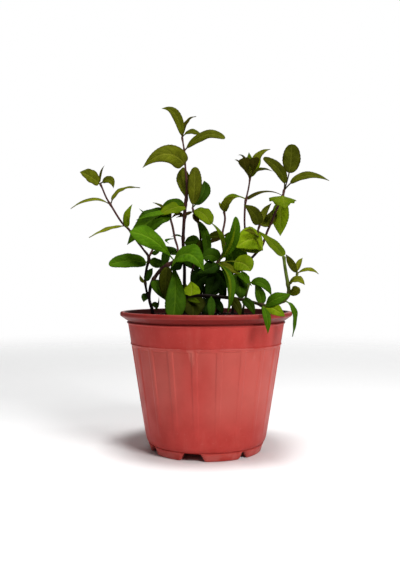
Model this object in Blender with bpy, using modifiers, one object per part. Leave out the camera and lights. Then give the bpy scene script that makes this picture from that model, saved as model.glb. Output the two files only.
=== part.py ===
"""A potted mint plant: a ribbed plastic nursery pot, its soil, square mint stems and their leaves.

Metres, +Z up. The pot stands on z = 0 and the plant's front faces -Y. Tables are in millimetres,
measured from the pot's axis, and MM turns them into metres.
"""

import math

import bmesh
import bpy
from mathutils import Vector

MM = 0.001
GAP = 0.3

# Where the pot's axis stands, so that the whole plant is centred on the origin.
AXIS_X = 5.0
AXIS_Y = 0.0

# Pot. Its wall is straight from the rim down to the heel, which rounds in to the foot ring.
POT_STEPS = 60
WALL = 1.5
RING_Z = 78.8
RING_RADIUS = 56.5
WALL_SLOPE = 0.158
FOOT_Z = 6.0
FLOOR_TOP = 7.6
# Where the floor ends inside, and the height at which its corner meets the wall.
FLOOR_RADIUS = 41.6
CORNER_Z = 12.0
# The rolled lip, from inside over the top and down, then the flare under it: radius and height.
LIP = (
    (61.4, 100.2), (62.0, 103.2), (62.6, 103.8), (63.8, 103.8), (64.6, 103.4),
    (65.0, 102.7), (65.0, 101.8), (64.5, 100.9),
)
FLARE = ((59.7, 97.3), (59.2, 96.9), (59.7, 96.2), (59.6, 95.4))
FLARE_FOOT_Z = 94.8
LIP_INSIDE_Z = 97.0
BEAD = ((80.4, 0.1), (79.6, 0.9 - (79.6 - RING_Z) * WALL_SLOPE))
HEEL = ((45.9, 13.0), (45.3, 9.8), (44.4, 7.4), (43.2, FOOT_Z))
FOOT_RING = ((43.4, FOOT_Z - 0.5), (41.6, 0), (39.8, 0), (40.4, FOOT_Z))
# Twenty shallow panels with a rib between each two.
PANELS = 20
PANEL_DEPTH = 0.6
RIB_ANGLE = math.radians(4.2)
PANEL_TOP = 78.2
PANEL_FOOT = 14.0
PANEL_FOOT_DEPTH = 0.1
# Drain holes: one in the middle and a circle of six.
DRAIN_HOLES = 6
DRAIN_CIRCLE = 26.0
DRAIN_RADIUS = 4.0
DRAIN_TURN = math.radians(7)
# The gaps between the feet, in degrees: each middle, from the front towards +X, and its width.
FOOT_GAPS = ((-66, 17), (-14, 24), (39, 10), (84, 18), (128, 14), (172, 22), (-122, 12))
FOOT_GAP_TAPER = 4.0
FOOT_GAP_LEAST = 1.0
FOOT_GAP_TOP = FOOT_Z - 0.7
FOOT_MIDDLE_RADIUS = 41.5
CUT_PAST = 4.0

# Soil.
SOIL_EDGE_Z = 98.6
SOIL_MIDDLE_Z = 101.6
SOIL_LUMP = 0.5
SOIL_STEPS = 40

# Leaves and stems.
BLADE = 0.7
STALK_HALF = 0.6
WIDEST = 0.8
BASE_ROUND = 0.85
TIP_ROUND = 1.3
TIP_SHARES = (0.09, 0.22, 0.4, 0.58, 0.76, 0.9, 0.97, 1.0)
NARROW_LEAF = 8.0

# Each stem: points on its axis (x, y, z) and its half width there. Branches start at a main point.
STEMS = {
    "left_stem": {
        "main": [
            (-40, -5, 93, 1.2), (-40, -5, 104, 1.2), (-43, -6, 113, 1.1), (-45, -6, 120, 1.0),
            (-46, -5, 128, 1.1), (-45, -4, 136, 1.3), (-43.5, -2, 144.5, 1.4), (-48, 2, 151, 0.9),
            (-53, 5, 157.5, 0.9), (-60, 9, 167, 0.9), (-66, 11, 173, 0.8), (-74, 14, 185.5, 0.8),
            (-78, 15, 192, 0.7), (-81.5, 16, 200, 0.7), (-83, 16, 203, 0.7),
        ],
        "branches": {6: [(-41, 2, 150.5, 0.8), (-40, 5, 154.5, 0.7), (-38.5, 8, 158, 0.7)]},
    },
    "arching_stem": {
        "main": [
            (-40, -15, 93, 1.3), (-40, -15, 104, 1.3), (-42, -14, 112, 1.4), (-42, -14, 118, 1.6),
            (-40.5, -14, 125, 1.8), (-37, -14, 131, 1.8), (-32.5, -16, 136, 1.8), (-27.5, -17, 139, 1.7),
            (-23.5, -17, 141.5, 1.6), (-21.3, -14, 146, 1.0), (-21.3, -10, 151.5, 0.8),
            (-23.4, -8, 158.5, 0.8), (-25.2, -6, 167.5, 0.8), (-26.8, -5, 173.5, 0.8),
            (-26.8, -4, 178, 0.7),
        ],
        "branches": {},
    },
    "tall_stem": {
        "main": [
            (-16, 2, 93, 1.5), (-16, 2, 105, 1.5), (-16.5, 2, 124, 1.4), (-16.5, 2, 137, 1.3),
            (-17.5, 3, 156, 1.2), (-17, 3, 170, 1.1), (-16.4, 3, 177, 1.1), (-16, 3, 184.5, 1.2),
            (-15, 3, 190.5, 1.0), (-14.6, 3, 200, 0.9), (-15.7, 2, 212.5, 0.7), (-16.4, 1, 224.5, 0.7),
            (-18.2, 0, 236, 0.65),
        ],
        "branches": {},
    },
    "inner_stem": {
        "main": [
            (-10.5, -6, 93, 1.0), (-10.5, -6, 105, 1.0), (-10.8, -6, 120, 0.9), (-11, -5, 131, 0.9),
            (-8.4, -4, 141, 0.8), (-4.8, -2, 150, 0.8), (-4.2, 0, 158, 0.8), (-4.6, 0, 164, 0.8),
            (-5.7, 0, 169.5, 0.8), (-7, 0, 174.5, 0.8), (-9.2, 0, 179, 0.8), (-10.3, 0, 182.5, 0.8),
        ],
        "branches": {},
    },
    "middle_stem": {
        "main": [
            (0, -11, 93, 1.2), (0, -11, 105, 1.2), (1.4, -12, 120, 1.1), (4.3, -14, 131, 1.2),
            (8.3, -16, 139.7, 1.3), (13, -10, 148.5, 0.9), (14.3, -5, 155, 0.9), (12.6, 0, 162.5, 0.8),
            (14, 3, 170, 0.8), (14.6, 4, 175, 0.8), (13.9, 5, 180, 0.7),
        ],
        "branches": {},
    },
    "upright_stem": {
        "main": [
            (21, 12, 93, 1.1), (21, 12, 105, 1.1), (22, 12, 123.5, 1.0), (26.5, 12, 137, 0.9),
            (29.3, 12, 149.5, 0.9), (30.5, 12, 162, 0.8), (30.1, 12, 174.5, 0.8), (30.7, 12, 187, 0.9),
            (32.1, 12, 194, 0.7), (33.4, 12, 200, 0.7), (34.4, 12, 207, 0.7),
        ],
        "branches": {},
    },
    "right_stem": {
        "main": [
            (9, 3, 93, 1.3), (9, 3, 106, 1.3), (12, 2, 119.5, 1.2), (18.5, 0, 128.5, 1.1),
            (24, 0, 133, 1.1), (34, 0, 143.5, 1.0), (38.2, 0, 148, 1.0), (42.3, 0, 153, 1.1),
            (45, 1, 159.5, 0.9), (47, 2, 165, 0.9), (50.2, 3, 172, 0.9), (53, 4, 179, 0.9),
            (56, 5, 185.5, 0.9), (59, 5, 192, 1.0), (60.2, 6, 197, 0.7),
        ],
        "branches": {7: [(39.2, -3, 159.5, 0.8), (39.2, -4, 164.5, 0.7), (40.3, -5, 168.6, 0.7)]},
    },
    "trailing_stem": {
        "main": [
            (-27.5, -26, 93, 1.1), (-27.5, -26, 104, 1.1), (-20, -30, 112, 1.1), (-11.5, -32, 114.8, 1.1),
            (-4.6, -34, 116.3, 1.0), (6, -36, 115.8, 1.0), (18, -38, 114.6, 1.0), (27, -40, 113.2, 1.0),
            (36, -44, 110.8, 1.1), (41, -47.5, 109.3, 1.3), (47.5, -47, 110.4, 1.1),
            (54, -42.5, 113, 1.1), (58, -38, 117.5, 1.2), (57.8, -36, 124, 1.3), (56.9, -34, 130.3, 1.2),
            (55.9, -32, 138.2, 1.1), (55.5, -31, 143.6, 1.1),
        ],
        "branches": {13: [(61.2, -34, 127, 0.8), (64.2, -32, 129.4, 0.7), (65.2, -30, 132.8, 0.7)]},
    },
    "short_shoot": {
        "main": [
            (26, -31, 93, 0.9), (26, -31, 104, 0.9), (27.6, -32, 113, 0.8), (29, -33, 119.5, 0.8),
            (30.6, -34, 125.3, 0.8),
        ],
        "branches": {},
    },
}

# Each leaf: where its stalk leaves the stem, the point its midrib bends towards, its tip, its width,
# the way its upper face looks, its fold in degrees, its stalk's share, its fullness (low is oval)
# and its kind.
LEAVES = {
    "left_leaf_cupped": (
        (-83, 16, 202), (-91, 8, 209.5), (-97.5, 8, 211), 13.5, (3, -8, 5), 20, 0.06, 0.55, "young",
    ),
    "left_leaf_low_side": (
        (-74, 14, 186), (-94, 8, 195), (-103, 2, 182), 12, (0, -1, 9), 10, 0.1, 0.8, "young",
    ),
    "left_leaf_far_side": (
        (-74, 14, 187), (-71, 19, 203), (-52, 20, 200.5), 12, (-3, -3, 9), 10, 0.1, 0.8, "young",
    ),
    "left_leaf_rising": (
        (-58, 8, 164.5), (-60.5, 4, 176), (-55.5, 8, 186), 8.5, (-5, -7, 3), 20, 0.08, 0.7, "young",
    ),
    "left_leaf_twisted": (
        (-60, 9, 167), (-75.5, 1, 168), (-88, -4, 160.5), 10, (0, 1, 9), 10, 0.1, 0.8, "mature",
    ),
    "left_leaf_bright": (
        (-45, -4, 137), (-58, -13, 145), (-72, -19, 139), 14, (0, -8, 6), 10, 0.08, 0.55, "mature",
    ),
    "left_leaf_inward": (
        (-44, -3, 143), (-37.5, 0, 141), (-31, 3, 140), 9, (0, -8, 5), 10, 0.1, 0.6, "shaded",
    ),
    "tall_leaf_top": (
        (-18.2, 0, 236), (-20.5, -5, 250), (-33.5, -6, 256.5), 8, (5, -8, 4), 20, 0.05, 0.7, "young",
    ),
    "tall_leaf_top_far": (
        (-18, 0, 235), (-16, 2, 252), (-7.5, 4, 253), 5, (-5, -5, 5), 20, 0.05, 0.8, "young",
    ),
    "tall_leaf_top_side": (
        (-18, 0, 232.5), (-8.5, 1, 245.5), (-4.6, 3, 237), 6, (0, -5, 8), 15, 0.1, 0.7, "young",
    ),
    "tall_leaf_right": (
        (-16.4, 1, 224.5), (-0.5, -9.5, 244), (14, -10, 233.5), 10, (0, -7, 7), 12, 0.16, 0.7, "young",
    ),
    "tall_leaf_left": (
        (-15.7, 2, 210.5), (-30, -11, 238), (-47.5, -8, 211.5), 16, (0, -8, 6), 8, 0.1, 0.48, "young",
    ),
    "tall_leaf_behind": (
        (-15, 3, 190.5), (-21, 8, 206), (-19.7, 9, 214), 9.5, (1, -9, 1), 10, 0.06, 0.5, "young",
    ),
    "tall_leaf_low_left": (
        (-16, 3, 184.5), (-27.5, 4, 189), (-35.5, 2, 179), 12, (-1, -7, 7), 8, 0.06, 0.55, "mature",
    ),
    "tall_leaf_hidden": (
        (-17.5, 3, 156), (-10, -2, 156), (-3.6, -7, 152.5), 12, (0, -8, 6), 10, 0.12, 0.6, "shaded",
    ),
    "inner_leaf_oval": (
        (-10.3, 0, 182), (-7, -1, 200), (-8, 6, 214.5), 9.5, (0, -9, 2), 8, 0.1, 0.45, "young",
    ),
    "inner_leaf_back": (
        (-10, 0.5, 181.5), (-1.5, 8, 198), (4, 16, 197.5), 14, (-2, -9, 4), 10, 0.15, 0.55, "young",
    ),
    "inner_leaf_lime": (
        (-9.2, 0, 179), (-2, -8, 179.5), (3.5, -12, 169.5), 9, (1, -7, 6), 12, 0.08, 0.5, "lime",
    ),
    "inner_leaf_hanging": (
        (-7, 0, 174), (2, -7, 167.5), (0, -10, 151.5), 8, (2, -9, 2), 12, 0.16, 0.6, "shaded",
    ),
    "arching_leaf_upper": (
        (-25.2, -6, 167.5), (-42, -10, 186), (-58.5, -13, 153.5), 14, (-2, -6, 7), 8, 0.06, 0.5, "shaded",
    ),
    "arching_leaf_bright": (
        (-23.5, -17, 141), (-38, -30, 165), (-54.5, -34, 160), 14, (2, -8, 5), 10, 0.16, 0.45, "mature",
    ),
    "arching_leaf_front": (
        (-23.5, -17, 141), (-13, -36, 157), (-4, -43, 134), 18, (0, -7, 7), 10, 0.08, 0.5, "mature",
    ),
    "arching_leaf_hanging": (
        (-24, -17, 140.5), (-22, -33, 121), (-25, -44, 101.5), 14, (0, -9, 2), 12, 0.08, 0.55, "mature",
    ),
    "arching_leaf_brown": (
        (-30, -16.5, 137), (-29, -21, 130), (-29, -22, 119.5), 9, (-3, -9, 2), 10, 0.12, 0.6, "dying",
    ),
    "middle_leaf_upright": (
        (10, -13.8, 143), (25, -28, 150), (21, -30, 172.5), 8.5, (2, -9, 1), 16, 0.12, 0.6, "mature",
    ),
    "middle_leaf_hanging": (
        (7, -15.5, 137), (22.5, -44, 127), (14, -50, 103.5), 8.5, (5, -8, 2), 15, 0.12, 0.6, "mature",
    ),
    "middle_leaf_dark": (
        (8.3, -16, 140), (4.5, -20, 145), (-6, -24, 148), 15, (0, -9, 3), 10, 0.08, 0.55, "shaded",
    ),
    "middle_leaf_bright": (
        (8.3, -16, 139), (21, -36, 146.5), (29.5, -45, 133), 15, (-2, -8, 5), 10, 0.36, 0.45, "mature",
    ),
    "middle_leaf_top": (
        (13.9, 5, 179.5), (14, 0, 187), (22, -4, 190.5), 7.5, (-4, -8, 3), 15, 0.06, 0.5, "young",
    ),
    "upright_leaf_left": (
        (34.4, 12, 206.5), (37, 4, 216), (23.5, 0, 220.5), 15, (2, -9, 3), 15, 0.05, 0.55, "young",
    ),
    "upright_leaf_top": (
        (34.4, 12, 206), (37.5, 14, 228), (50, 10, 229.5), 7, (-3, -8, 4), 20, 0.08, 0.7, "young",
    ),
    "upright_leaf_low_left": (
        (30.7, 12, 187), (24, 9, 196.5), (17, 6, 190.5), 8, (0, 0, 9), 12, 0.1, 0.7, "young",
    ),
    "upright_leaf_low_right": (
        (30.7, 12, 187), (42, 16, 202), (61, 22, 195), 10, (0, -2, 9), 12, 0.06, 0.7, "young",
    ),
    "right_leaf_oval": (
        (60.2, 6, 196.5), (67.5, 10, 217), (66.5, 10, 233), 13.5, (0, -9, 1), 8, 0.37, 0.42, "young",
    ),
    "right_leaf_left": (
        (60.2, 6, 196), (55.5, 3, 213), (43.5, 0, 221), 10, (4, -8, 4), 20, 0.18, 0.6, "young",
    ),
    "right_leaf_far": (
        (60.2, 6, 195.5), (76, -1, 217.5), (93, -4, 203), 9, (0, -6, 8), 12, 0.2, 0.65, "young",
    ),
    "right_leaf_forward": (
        (59, 5, 192), (58, -8, 193), (57.5, -20, 182.5), 19, (0, -5, 8), -12, 0.06, 0.45, "mature",
    ),
    "right_leaf_hanging": (
        (59, 5, 190), (58.6, 20, 176.6), (58.3, 16, 162.1), 12.5, (0, -9, 1), 10, 0.08, 0.55, "lime",
    ),
    "right_leaf_low": (
        (41, 0, 151.4), (33.6, -14, 162.1), (23.8, -22, 153), 17, (0, -7, 6), 10, 0.08, 0.42, "mature",
    ),
    "right_leaf_dark": (
        (19, 0, 129), (31, -14, 126), (21.5, -25, 114), 13, (1, -9, 2), 10, 0.1, 0.5, "shaded",
    ),
    "side_leaf_left": (
        (40.3, -5, 168), (36.5, -10.5, 177), (27.5, -12, 182.5), 11, (1, -9, 3), 15, 0.08, 0.5, "mature",
    ),
    "side_leaf_right": (
        (40.3, -5, 168), (47, 8, 179), (53.5, 9.5, 185), 8, (-2, -9, 2), 12, 0.12, 0.55, "mature",
    ),
    "trailing_leaf_top": (
        (55.5, -31, 143), (53, -26, 152), (41.5, -14, 157), 10, (2, -7, 7), 12, 0.06, 0.55, "young",
    ),
    "trailing_leaf_shoot": (
        (65.2, -30, 132.5), (62, -37, 141), (56, -41, 145), 6, (-4, -8, 4), 12, 0.08, 0.55, "young",
    ),
    "trailing_leaf_dark": (
        (41, -47.5, 109.5), (46, -54, 117), (57.5, -52, 113.5), 10.5, (0, -8, 6), 10, 0.08, 0.45, "mature",
    ),
    "trailing_leaf_lime": (
        (43.5, -47.4, 109.6), (47.5, -58, 109), (53, -60, 101.5), 8, (0, -8, 5), 10, 0.2, 0.45, "lime",
    ),
    "trailing_leaf_outer": (
        (54, -42.5, 112.5), (64, -48, 110), (59.5, -46, 88), 8, (7, -6, 4), 12, 0.14, 0.6, "mature",
    ),
    "trailing_leaf_over_rim": (
        (38.5, -45.8, 110), (42, -62, 107), (42, -60, 90), 7, (1, -9, 3), 12, 0.1, 0.55, "mature",
    ),
    "shoot_leaf_right": (
        (30.6, -34, 125), (41.1, -40, 129), (46, -43, 115.5), 9.5, (3, -7, 6), 10, 0.1, 0.5, "mature",
    ),
}

# Colour, roughness and metallic value of each material.
MATERIALS = {
    "pot_plastic": ((0.50, 0.085, 0.072, 1), 0.42),
    "potting_soil": ((0.018, 0.012, 0.008, 1), 0.95),
    "stem_purple": ((0.10, 0.028, 0.022, 1), 0.55),
    "stem_green": ((0.16, 0.20, 0.03, 1), 0.5),
    "leaf_young": ((0.13, 0.17, 0.012, 1), 0.5),
    "leaf_mature": ((0.09, 0.25, 0.012, 1), 0.45),
    "leaf_shaded": ((0.035, 0.10, 0.008, 1), 0.5),
    "leaf_lime": ((0.24, 0.36, 0.02, 1), 0.45),
    "leaf_dying": ((0.09, 0.075, 0.01, 1), 0.6),
}


def clear_scene():
    for obj in list(bpy.data.objects):
        bpy.data.objects.remove(obj, do_unlink=True)


def new_collection(name, hidden=False):
    collection = bpy.data.collections.new(name)
    bpy.context.scene.collection.children.link(collection)
    collection.hide_render = hidden
    return collection


def new_material(name):
    colour, roughness = MATERIALS[name]
    material = bpy.data.materials.new(name)
    material.use_nodes = True
    shader = material.node_tree.nodes["Principled BSDF"]
    shader.inputs["Base Color"].default_value = colour
    shader.inputs["Roughness"].default_value = roughness
    shader.inputs["Metallic"].default_value = 0.0
    return material


def place(name, mesh, collection, material=None):
    """An object at the pot's axis, holding a mesh whose points are in metres from that axis."""
    obj = bpy.data.objects.new(name, mesh)
    obj.location = (AXIS_X * MM, AXIS_Y * MM, 0)
    if material:
        mesh.materials.append(material)
    collection.objects.link(obj)
    return obj


def mesh_from(work, name):
    bmesh.ops.recalc_face_normals(work, faces=work.faces)
    if work.calc_volume(signed=True) < 0:
        bmesh.ops.reverse_faces(work, faces=work.faces)
    mesh = bpy.data.meshes.new(name)
    work.to_mesh(mesh)
    work.free()
    return mesh


def profile_mesh(name, points):
    """An open profile in the XZ plane, for a Screw modifier."""
    mesh = bpy.data.meshes.new(name)
    edges = [(i, i + 1) for i in range(len(points) - 1)]
    mesh.from_pydata([(r * MM, 0, z * MM) for r, z in points], edges, [])
    return mesh


def turn(obj, steps):
    screw = obj.modifiers.new("Turn", "SCREW")
    screw.steps = steps
    screw.render_steps = steps
    screw.use_merge_vertices = True
    screw.merge_threshold = 0.00001


def cut(obj, name, cutters):
    boolean = obj.modifiers.new(name, "BOOLEAN")
    boolean.operation = "DIFFERENCE"
    boolean.solver = "EXACT"
    boolean.operand_type = "COLLECTION"
    boolean.collection = cutters


def hide_cutter(obj):
    obj.hide_render = True
    obj.display_type = "WIRE"


def wall_radius(z):
    """The pot's outer wall below its rim."""
    return RING_RADIUS + (z - RING_Z) * WALL_SLOPE


def inner_radius(z):
    return wall_radius(z) - WALL


def pot_profile():
    """Up the inside from the floor, over the lip, down the outer side and in under the foot."""
    inside = [(0, FLOOR_TOP), (FLOOR_RADIUS, FLOOR_TOP)]
    inside += [(inner_radius(z), z) for z in (CORNER_Z, LIP_INSIDE_Z)]
    flare_foot = [(wall_radius(FLARE_FOOT_Z), FLARE_FOOT_Z)]
    bead = [(wall_radius(z) + proud, z) for z, proud in BEAD] + [(RING_RADIUS, RING_Z)]
    foot = list(HEEL) + list(FOOT_RING) + [(0, FOOT_Z)]
    return inside + list(LIP) + list(FLARE) + flare_foot + bead + foot


def panel_cutter(index, collection):
    """A shallow pocket in the wall between two ribs, which runs out towards the foot."""
    pitch = math.tau / PANELS
    start = index * pitch - math.pi / 2 - (pitch - RIB_ANGLE) / 2
    corners = (
        (wall_radius(PANEL_TOP) - PANEL_DEPTH, PANEL_TOP),
        (wall_radius(PANEL_TOP) + CUT_PAST, PANEL_TOP),
        (wall_radius(PANEL_FOOT) + CUT_PAST, PANEL_FOOT),
        (wall_radius(PANEL_FOOT) - PANEL_FOOT_DEPTH, PANEL_FOOT),
    )
    work = bmesh.new()
    points = [
        work.verts.new((r * MM * math.cos(start), r * MM * math.sin(start), z * MM)) for r, z in corners
    ]
    face = work.faces.new(points)
    bmesh.ops.spin(
        work, geom=[face] + list(face.edges) + points, axis=(0, 0, 1), cent=(0, 0, 0),
        angle=pitch - RIB_ANGLE, steps=3,
    )
    obj = place(f"panel_cutter_{index + 1}", mesh_from(work, "panel_cutter"), collection)
    hide_cutter(obj)


def foot_gap_cutter(index, middle, width, collection):
    """A wedge that opens the foot ring, wider at the floor than at the top."""
    angle = math.radians(middle) - math.pi / 2
    half_floor = math.radians(width) / 2 * FOOT_MIDDLE_RADIUS
    half_top = max(half_floor - FOOT_GAP_TAPER, FOOT_GAP_LEAST)
    work = bmesh.new()
    bmesh.ops.create_cube(work, size=2.0)
    for vert in work.verts:
        top = vert.co.z > 0
        across = vert.co.y * (half_top if top else half_floor)
        along = FOOT_MIDDLE_RADIUS + vert.co.x * CUT_PAST * 1.5
        vert.co = (
            (along * math.cos(angle) - across * math.sin(angle)) * MM,
            (along * math.sin(angle) + across * math.cos(angle)) * MM,
            (FOOT_GAP_TOP if top else -CUT_PAST) * MM,
        )
    obj = place(f"foot_gap_cutter_{index + 1}", mesh_from(work, "foot_gap_cutter"), collection)
    hide_cutter(obj)


def round_cutter(name, x, y, low, high, radius, collection):
    work = bmesh.new()
    bmesh.ops.create_cone(
        work, cap_ends=True, segments=12, radius1=radius * MM, radius2=radius * MM, depth=(high - low) * MM
    )
    bmesh.ops.translate(work, verts=work.verts, vec=(x * MM, y * MM, (low + high) / 2 * MM))
    obj = place(name, mesh_from(work, name), collection)
    hide_cutter(obj)


def make_pot(parts, materials):
    cutters = new_collection("pot_cutters", hidden=True)
    for index in range(PANELS):
        panel_cutter(index, cutters)
    for index, (middle, width) in enumerate(FOOT_GAPS):
        foot_gap_cutter(index, middle, width, cutters)
    holes = [(0.0, 0.0)]
    for index in range(DRAIN_HOLES):
        angle = DRAIN_TURN + math.tau * index / DRAIN_HOLES
        holes.append((DRAIN_CIRCLE * math.cos(angle), DRAIN_CIRCLE * math.sin(angle)))
    for index, (x, y) in enumerate(holes):
        low, high = FOOT_Z - CUT_PAST, FLOOR_TOP + CUT_PAST
        round_cutter(f"drain_cutter_{index + 1}", x, y, low, high, DRAIN_RADIUS, cutters)
    pot = place("pot", profile_mesh("pot", pot_profile()), parts, materials["pot_plastic"])
    turn(pot, POT_STEPS)
    cut(pot, "Cut", cutters)


def soil_height(x, y):
    """The soil's top: a low mound with a few lumps."""
    reach = math.hypot(x, y) / inner_radius(SOIL_EDGE_Z)
    mound = SOIL_EDGE_Z + (SOIL_MIDDLE_Z - SOIL_EDGE_Z) * max(0.0, 1 - reach * reach)
    lumps = math.sin(x * 0.31 + 1.0) * math.cos(y * 0.27) + 0.6 * math.sin(x * 0.13 - y * 0.22)
    return mound + SOIL_LUMP * lumps * (1 - reach ** 4)


def make_soil(parts, materials):
    cutters = new_collection("soil_cutters", hidden=True)
    for name, stem in STEMS.items():
        x, y, foot, half = stem["main"][0]
        low, high = foot - GAP, SOIL_MIDDLE_Z + CUT_PAST
        round_cutter(f"{name}_socket", x, y, low, high, half * math.sqrt(2) + GAP, cutters)
    low = FLOOR_TOP + GAP
    edge = inner_radius(SOIL_EDGE_Z) - GAP
    work = bmesh.new()
    outline = [(0, SOIL_MIDDLE_Z), (edge * 0.35, SOIL_MIDDLE_Z), (edge * 0.7, SOIL_MIDDLE_Z)]
    outline += [(edge, SOIL_EDGE_Z), (inner_radius(CORNER_Z) - GAP, CORNER_Z + GAP / 2)]
    outline += [(FLOOR_RADIUS - GAP, low), (0, low)]
    points = [work.verts.new((r * MM, 0, z * MM)) for r, z in outline]
    edges = [work.edges.new(pair) for pair in zip(points, points[1:])]
    bmesh.ops.spin(
        work, geom=points + edges, axis=(0, 0, 1), cent=(0, 0, 0), angle=math.tau, steps=SOIL_STEPS,
        use_merge=True,
    )
    bmesh.ops.remove_doubles(work, verts=work.verts, dist=0.00001)
    for vert in work.verts:
        if vert.co.z > (SOIL_EDGE_Z + GAP) * MM:
            vert.co.z = soil_height(vert.co.x / MM, vert.co.y / MM) * MM
    soil = place("soil", mesh_from(work, "soil"), parts, materials["potting_soil"])
    cut(soil, "Sockets", cutters)


def make_stem(name, stem, parts, material):
    """A square stem: a skeleton of its axis, with its branches, thickened by a Skin modifier."""
    points = list(stem["main"])
    edges = [(i, i + 1) for i in range(len(points) - 1)]
    for start, branch in stem["branches"].items():
        first = len(points)
        points += branch
        edges.append((start, first))
        edges += [(first + i, first + i + 1) for i in range(len(branch) - 1)]
    mesh = bpy.data.meshes.new(name)
    mesh.from_pydata([(x * MM, y * MM, z * MM) for x, y, z, _ in points], edges, [])
    obj = place(name, mesh, parts, material)
    skin = obj.modifiers.new("Skin", "SKIN")
    skin.use_x_symmetry = False
    skin.branch_smoothing = 0.0
    for vert, (_, _, _, half) in zip(mesh.skin_vertices[0].data, points):
        vert.radius = (half * MM, half * MM)
        vert.use_loose = False
    mesh.skin_vertices[0].data[0].use_root = True


def stem_axes():
    """Every straight run of every stem, as (start, end, half width)."""
    runs = []
    for stem in STEMS.values():
        routes = [stem["main"]]
        routes += [[stem["main"][start]] + branch for start, branch in stem["branches"].items()]
        for route in routes:
            for low, high in zip(route, route[1:]):
                runs.append((Vector(low[:3]), Vector(high[:3]), max(low[3], high[3])))
    return runs


def nearest_run(point, runs):
    """The stem axis nearest a point: the nearest place on it, its direction and its half width."""
    best = None
    for low, high, half in runs:
        along = high - low
        share = min(1.0, max(0.0, (point - low).dot(along) / along.length_squared))
        place_on_axis = low + along * share
        distance = (point - place_on_axis).length
        if best is None or distance < best[0]:
            best = (distance, place_on_axis, along.normalized(), half)
    return best[1:]


def leaf_start(root, bend, runs):
    """The stalk starts just off the stem's skin, on the side where the leaf goes."""
    axis_point, along, half = nearest_run(root, runs)
    away = bend - axis_point
    away -= along * away.dot(along)
    return axis_point + away.normalized() * (half * 1.25 + GAP + STALK_HALF * 0.5)


def leaf_point(leaf, start, share, across):
    """A point of the leaf's middle surface: share runs from stalk to tip, across from -1 to 1."""
    _, bend, tip, width, face, fold, stalk, fullness, _ = leaf
    rise = Vector(bend) - start
    drop = Vector(tip) - Vector(bend)
    middle = start + rise * (2 * share * (1 - share)) + (rise + drop) * share * share
    tangent = rise.lerp(drop, share).normalized()
    side = tangent.cross(Vector(face)).normalized()
    normal = side.cross(tangent)
    half = STALK_HALF
    lift = 0.0
    if stalk < share < 1:
        blade = (share - stalk) / (1 - stalk)
        round_by = fullness * (BASE_ROUND if blade ** WIDEST < 0.5 else TIP_ROUND)
        half = max(STALK_HALF, width / 2 * math.sin(math.pi * blade ** WIDEST) ** round_by)
        lift = math.sin(math.radians(fold)) * min(1.0, half / STALK_HALF - 1)
    flat = math.sqrt(1 - lift * lift)
    return middle + side * (across * half * flat) + normal * (abs(across) * half * lift)


def make_leaf(name, leaf, runs, parts, material):
    """A blade on its stalk: a grid bent onto the leaf's surface, with its thickness from Solidify."""
    stalk = leaf[6]
    shares = [0.0, stalk * 0.95] + [stalk + (1 - stalk) * share for share in TIP_SHARES]
    strips = 4 if leaf[3] > NARROW_LEAF else 2
    start = leaf_start(Vector(leaf[0]), Vector(leaf[1]), runs)
    work = bmesh.new()
    bmesh.ops.create_grid(work, x_segments=len(shares) - 1, y_segments=strips, size=1.0)
    for vert in work.verts:
        column = round((vert.co.x + 1) / 2 * (len(shares) - 1))
        vert.co = leaf_point(leaf, start, shares[column], vert.co.y) * MM
    mesh = bpy.data.meshes.new(name)
    work.to_mesh(mesh)
    work.free()
    obj = place(name, mesh, parts, material)
    shell = obj.modifiers.new("Blade", "SOLIDIFY")
    shell.thickness = BLADE * MM
    shell.offset = 0.0
    mesh.shade_smooth()


def main():
    clear_scene()
    materials = {name: new_material(name) for name in MATERIALS}
    parts = new_collection("potted_mint_plant")
    make_pot(parts, materials)
    make_soil(parts, materials)
    for name, stem in STEMS.items():
        colour = "stem_green" if name == "short_shoot" else "stem_purple"
        make_stem(name, stem, parts, materials[colour])
    runs = stem_axes()
    for name, leaf in LEAVES.items():
        make_leaf(name, leaf, runs, parts, materials["leaf_" + leaf[8]])


main()
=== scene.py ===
"""The looks of a potted mint plant: a moulded plastic pot, damp soil, square stems and veined leaves.

Every piece is made in millimetres from the pot's axis, which the frame gives, and stands there in metres.
"""

import math
import random
from types import SimpleNamespace
from typing import NamedTuple

import bmesh
import bpy
from mathutils import Matrix, Vector, noise
from mathutils.geometry import interpolate_bezier


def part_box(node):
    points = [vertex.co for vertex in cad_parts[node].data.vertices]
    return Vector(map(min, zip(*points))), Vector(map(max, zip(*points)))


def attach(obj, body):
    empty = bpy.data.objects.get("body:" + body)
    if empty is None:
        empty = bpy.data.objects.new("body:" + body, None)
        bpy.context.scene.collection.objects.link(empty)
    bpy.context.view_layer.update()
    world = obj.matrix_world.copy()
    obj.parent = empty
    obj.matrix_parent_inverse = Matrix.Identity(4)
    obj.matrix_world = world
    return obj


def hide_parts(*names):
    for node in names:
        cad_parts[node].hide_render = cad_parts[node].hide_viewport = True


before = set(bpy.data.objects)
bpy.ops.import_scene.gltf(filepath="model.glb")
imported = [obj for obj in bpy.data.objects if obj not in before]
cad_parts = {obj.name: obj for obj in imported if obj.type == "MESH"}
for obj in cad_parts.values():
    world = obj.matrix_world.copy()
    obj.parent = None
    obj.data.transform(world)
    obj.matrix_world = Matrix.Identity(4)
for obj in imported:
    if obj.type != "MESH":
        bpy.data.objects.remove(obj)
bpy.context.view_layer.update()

MM = 0.001
POT_LOW, POT_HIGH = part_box("pot")
POT_AXIS = Vector(((POT_LOW.x + POT_HIGH.x) / 2, (POT_LOW.y + POT_HIGH.y) / 2, 0))
POT_TOP = POT_HIGH.z / MM
RIM_RADIUS = (POT_HIGH.x - POT_LOW.x) / 2 / MM

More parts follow.
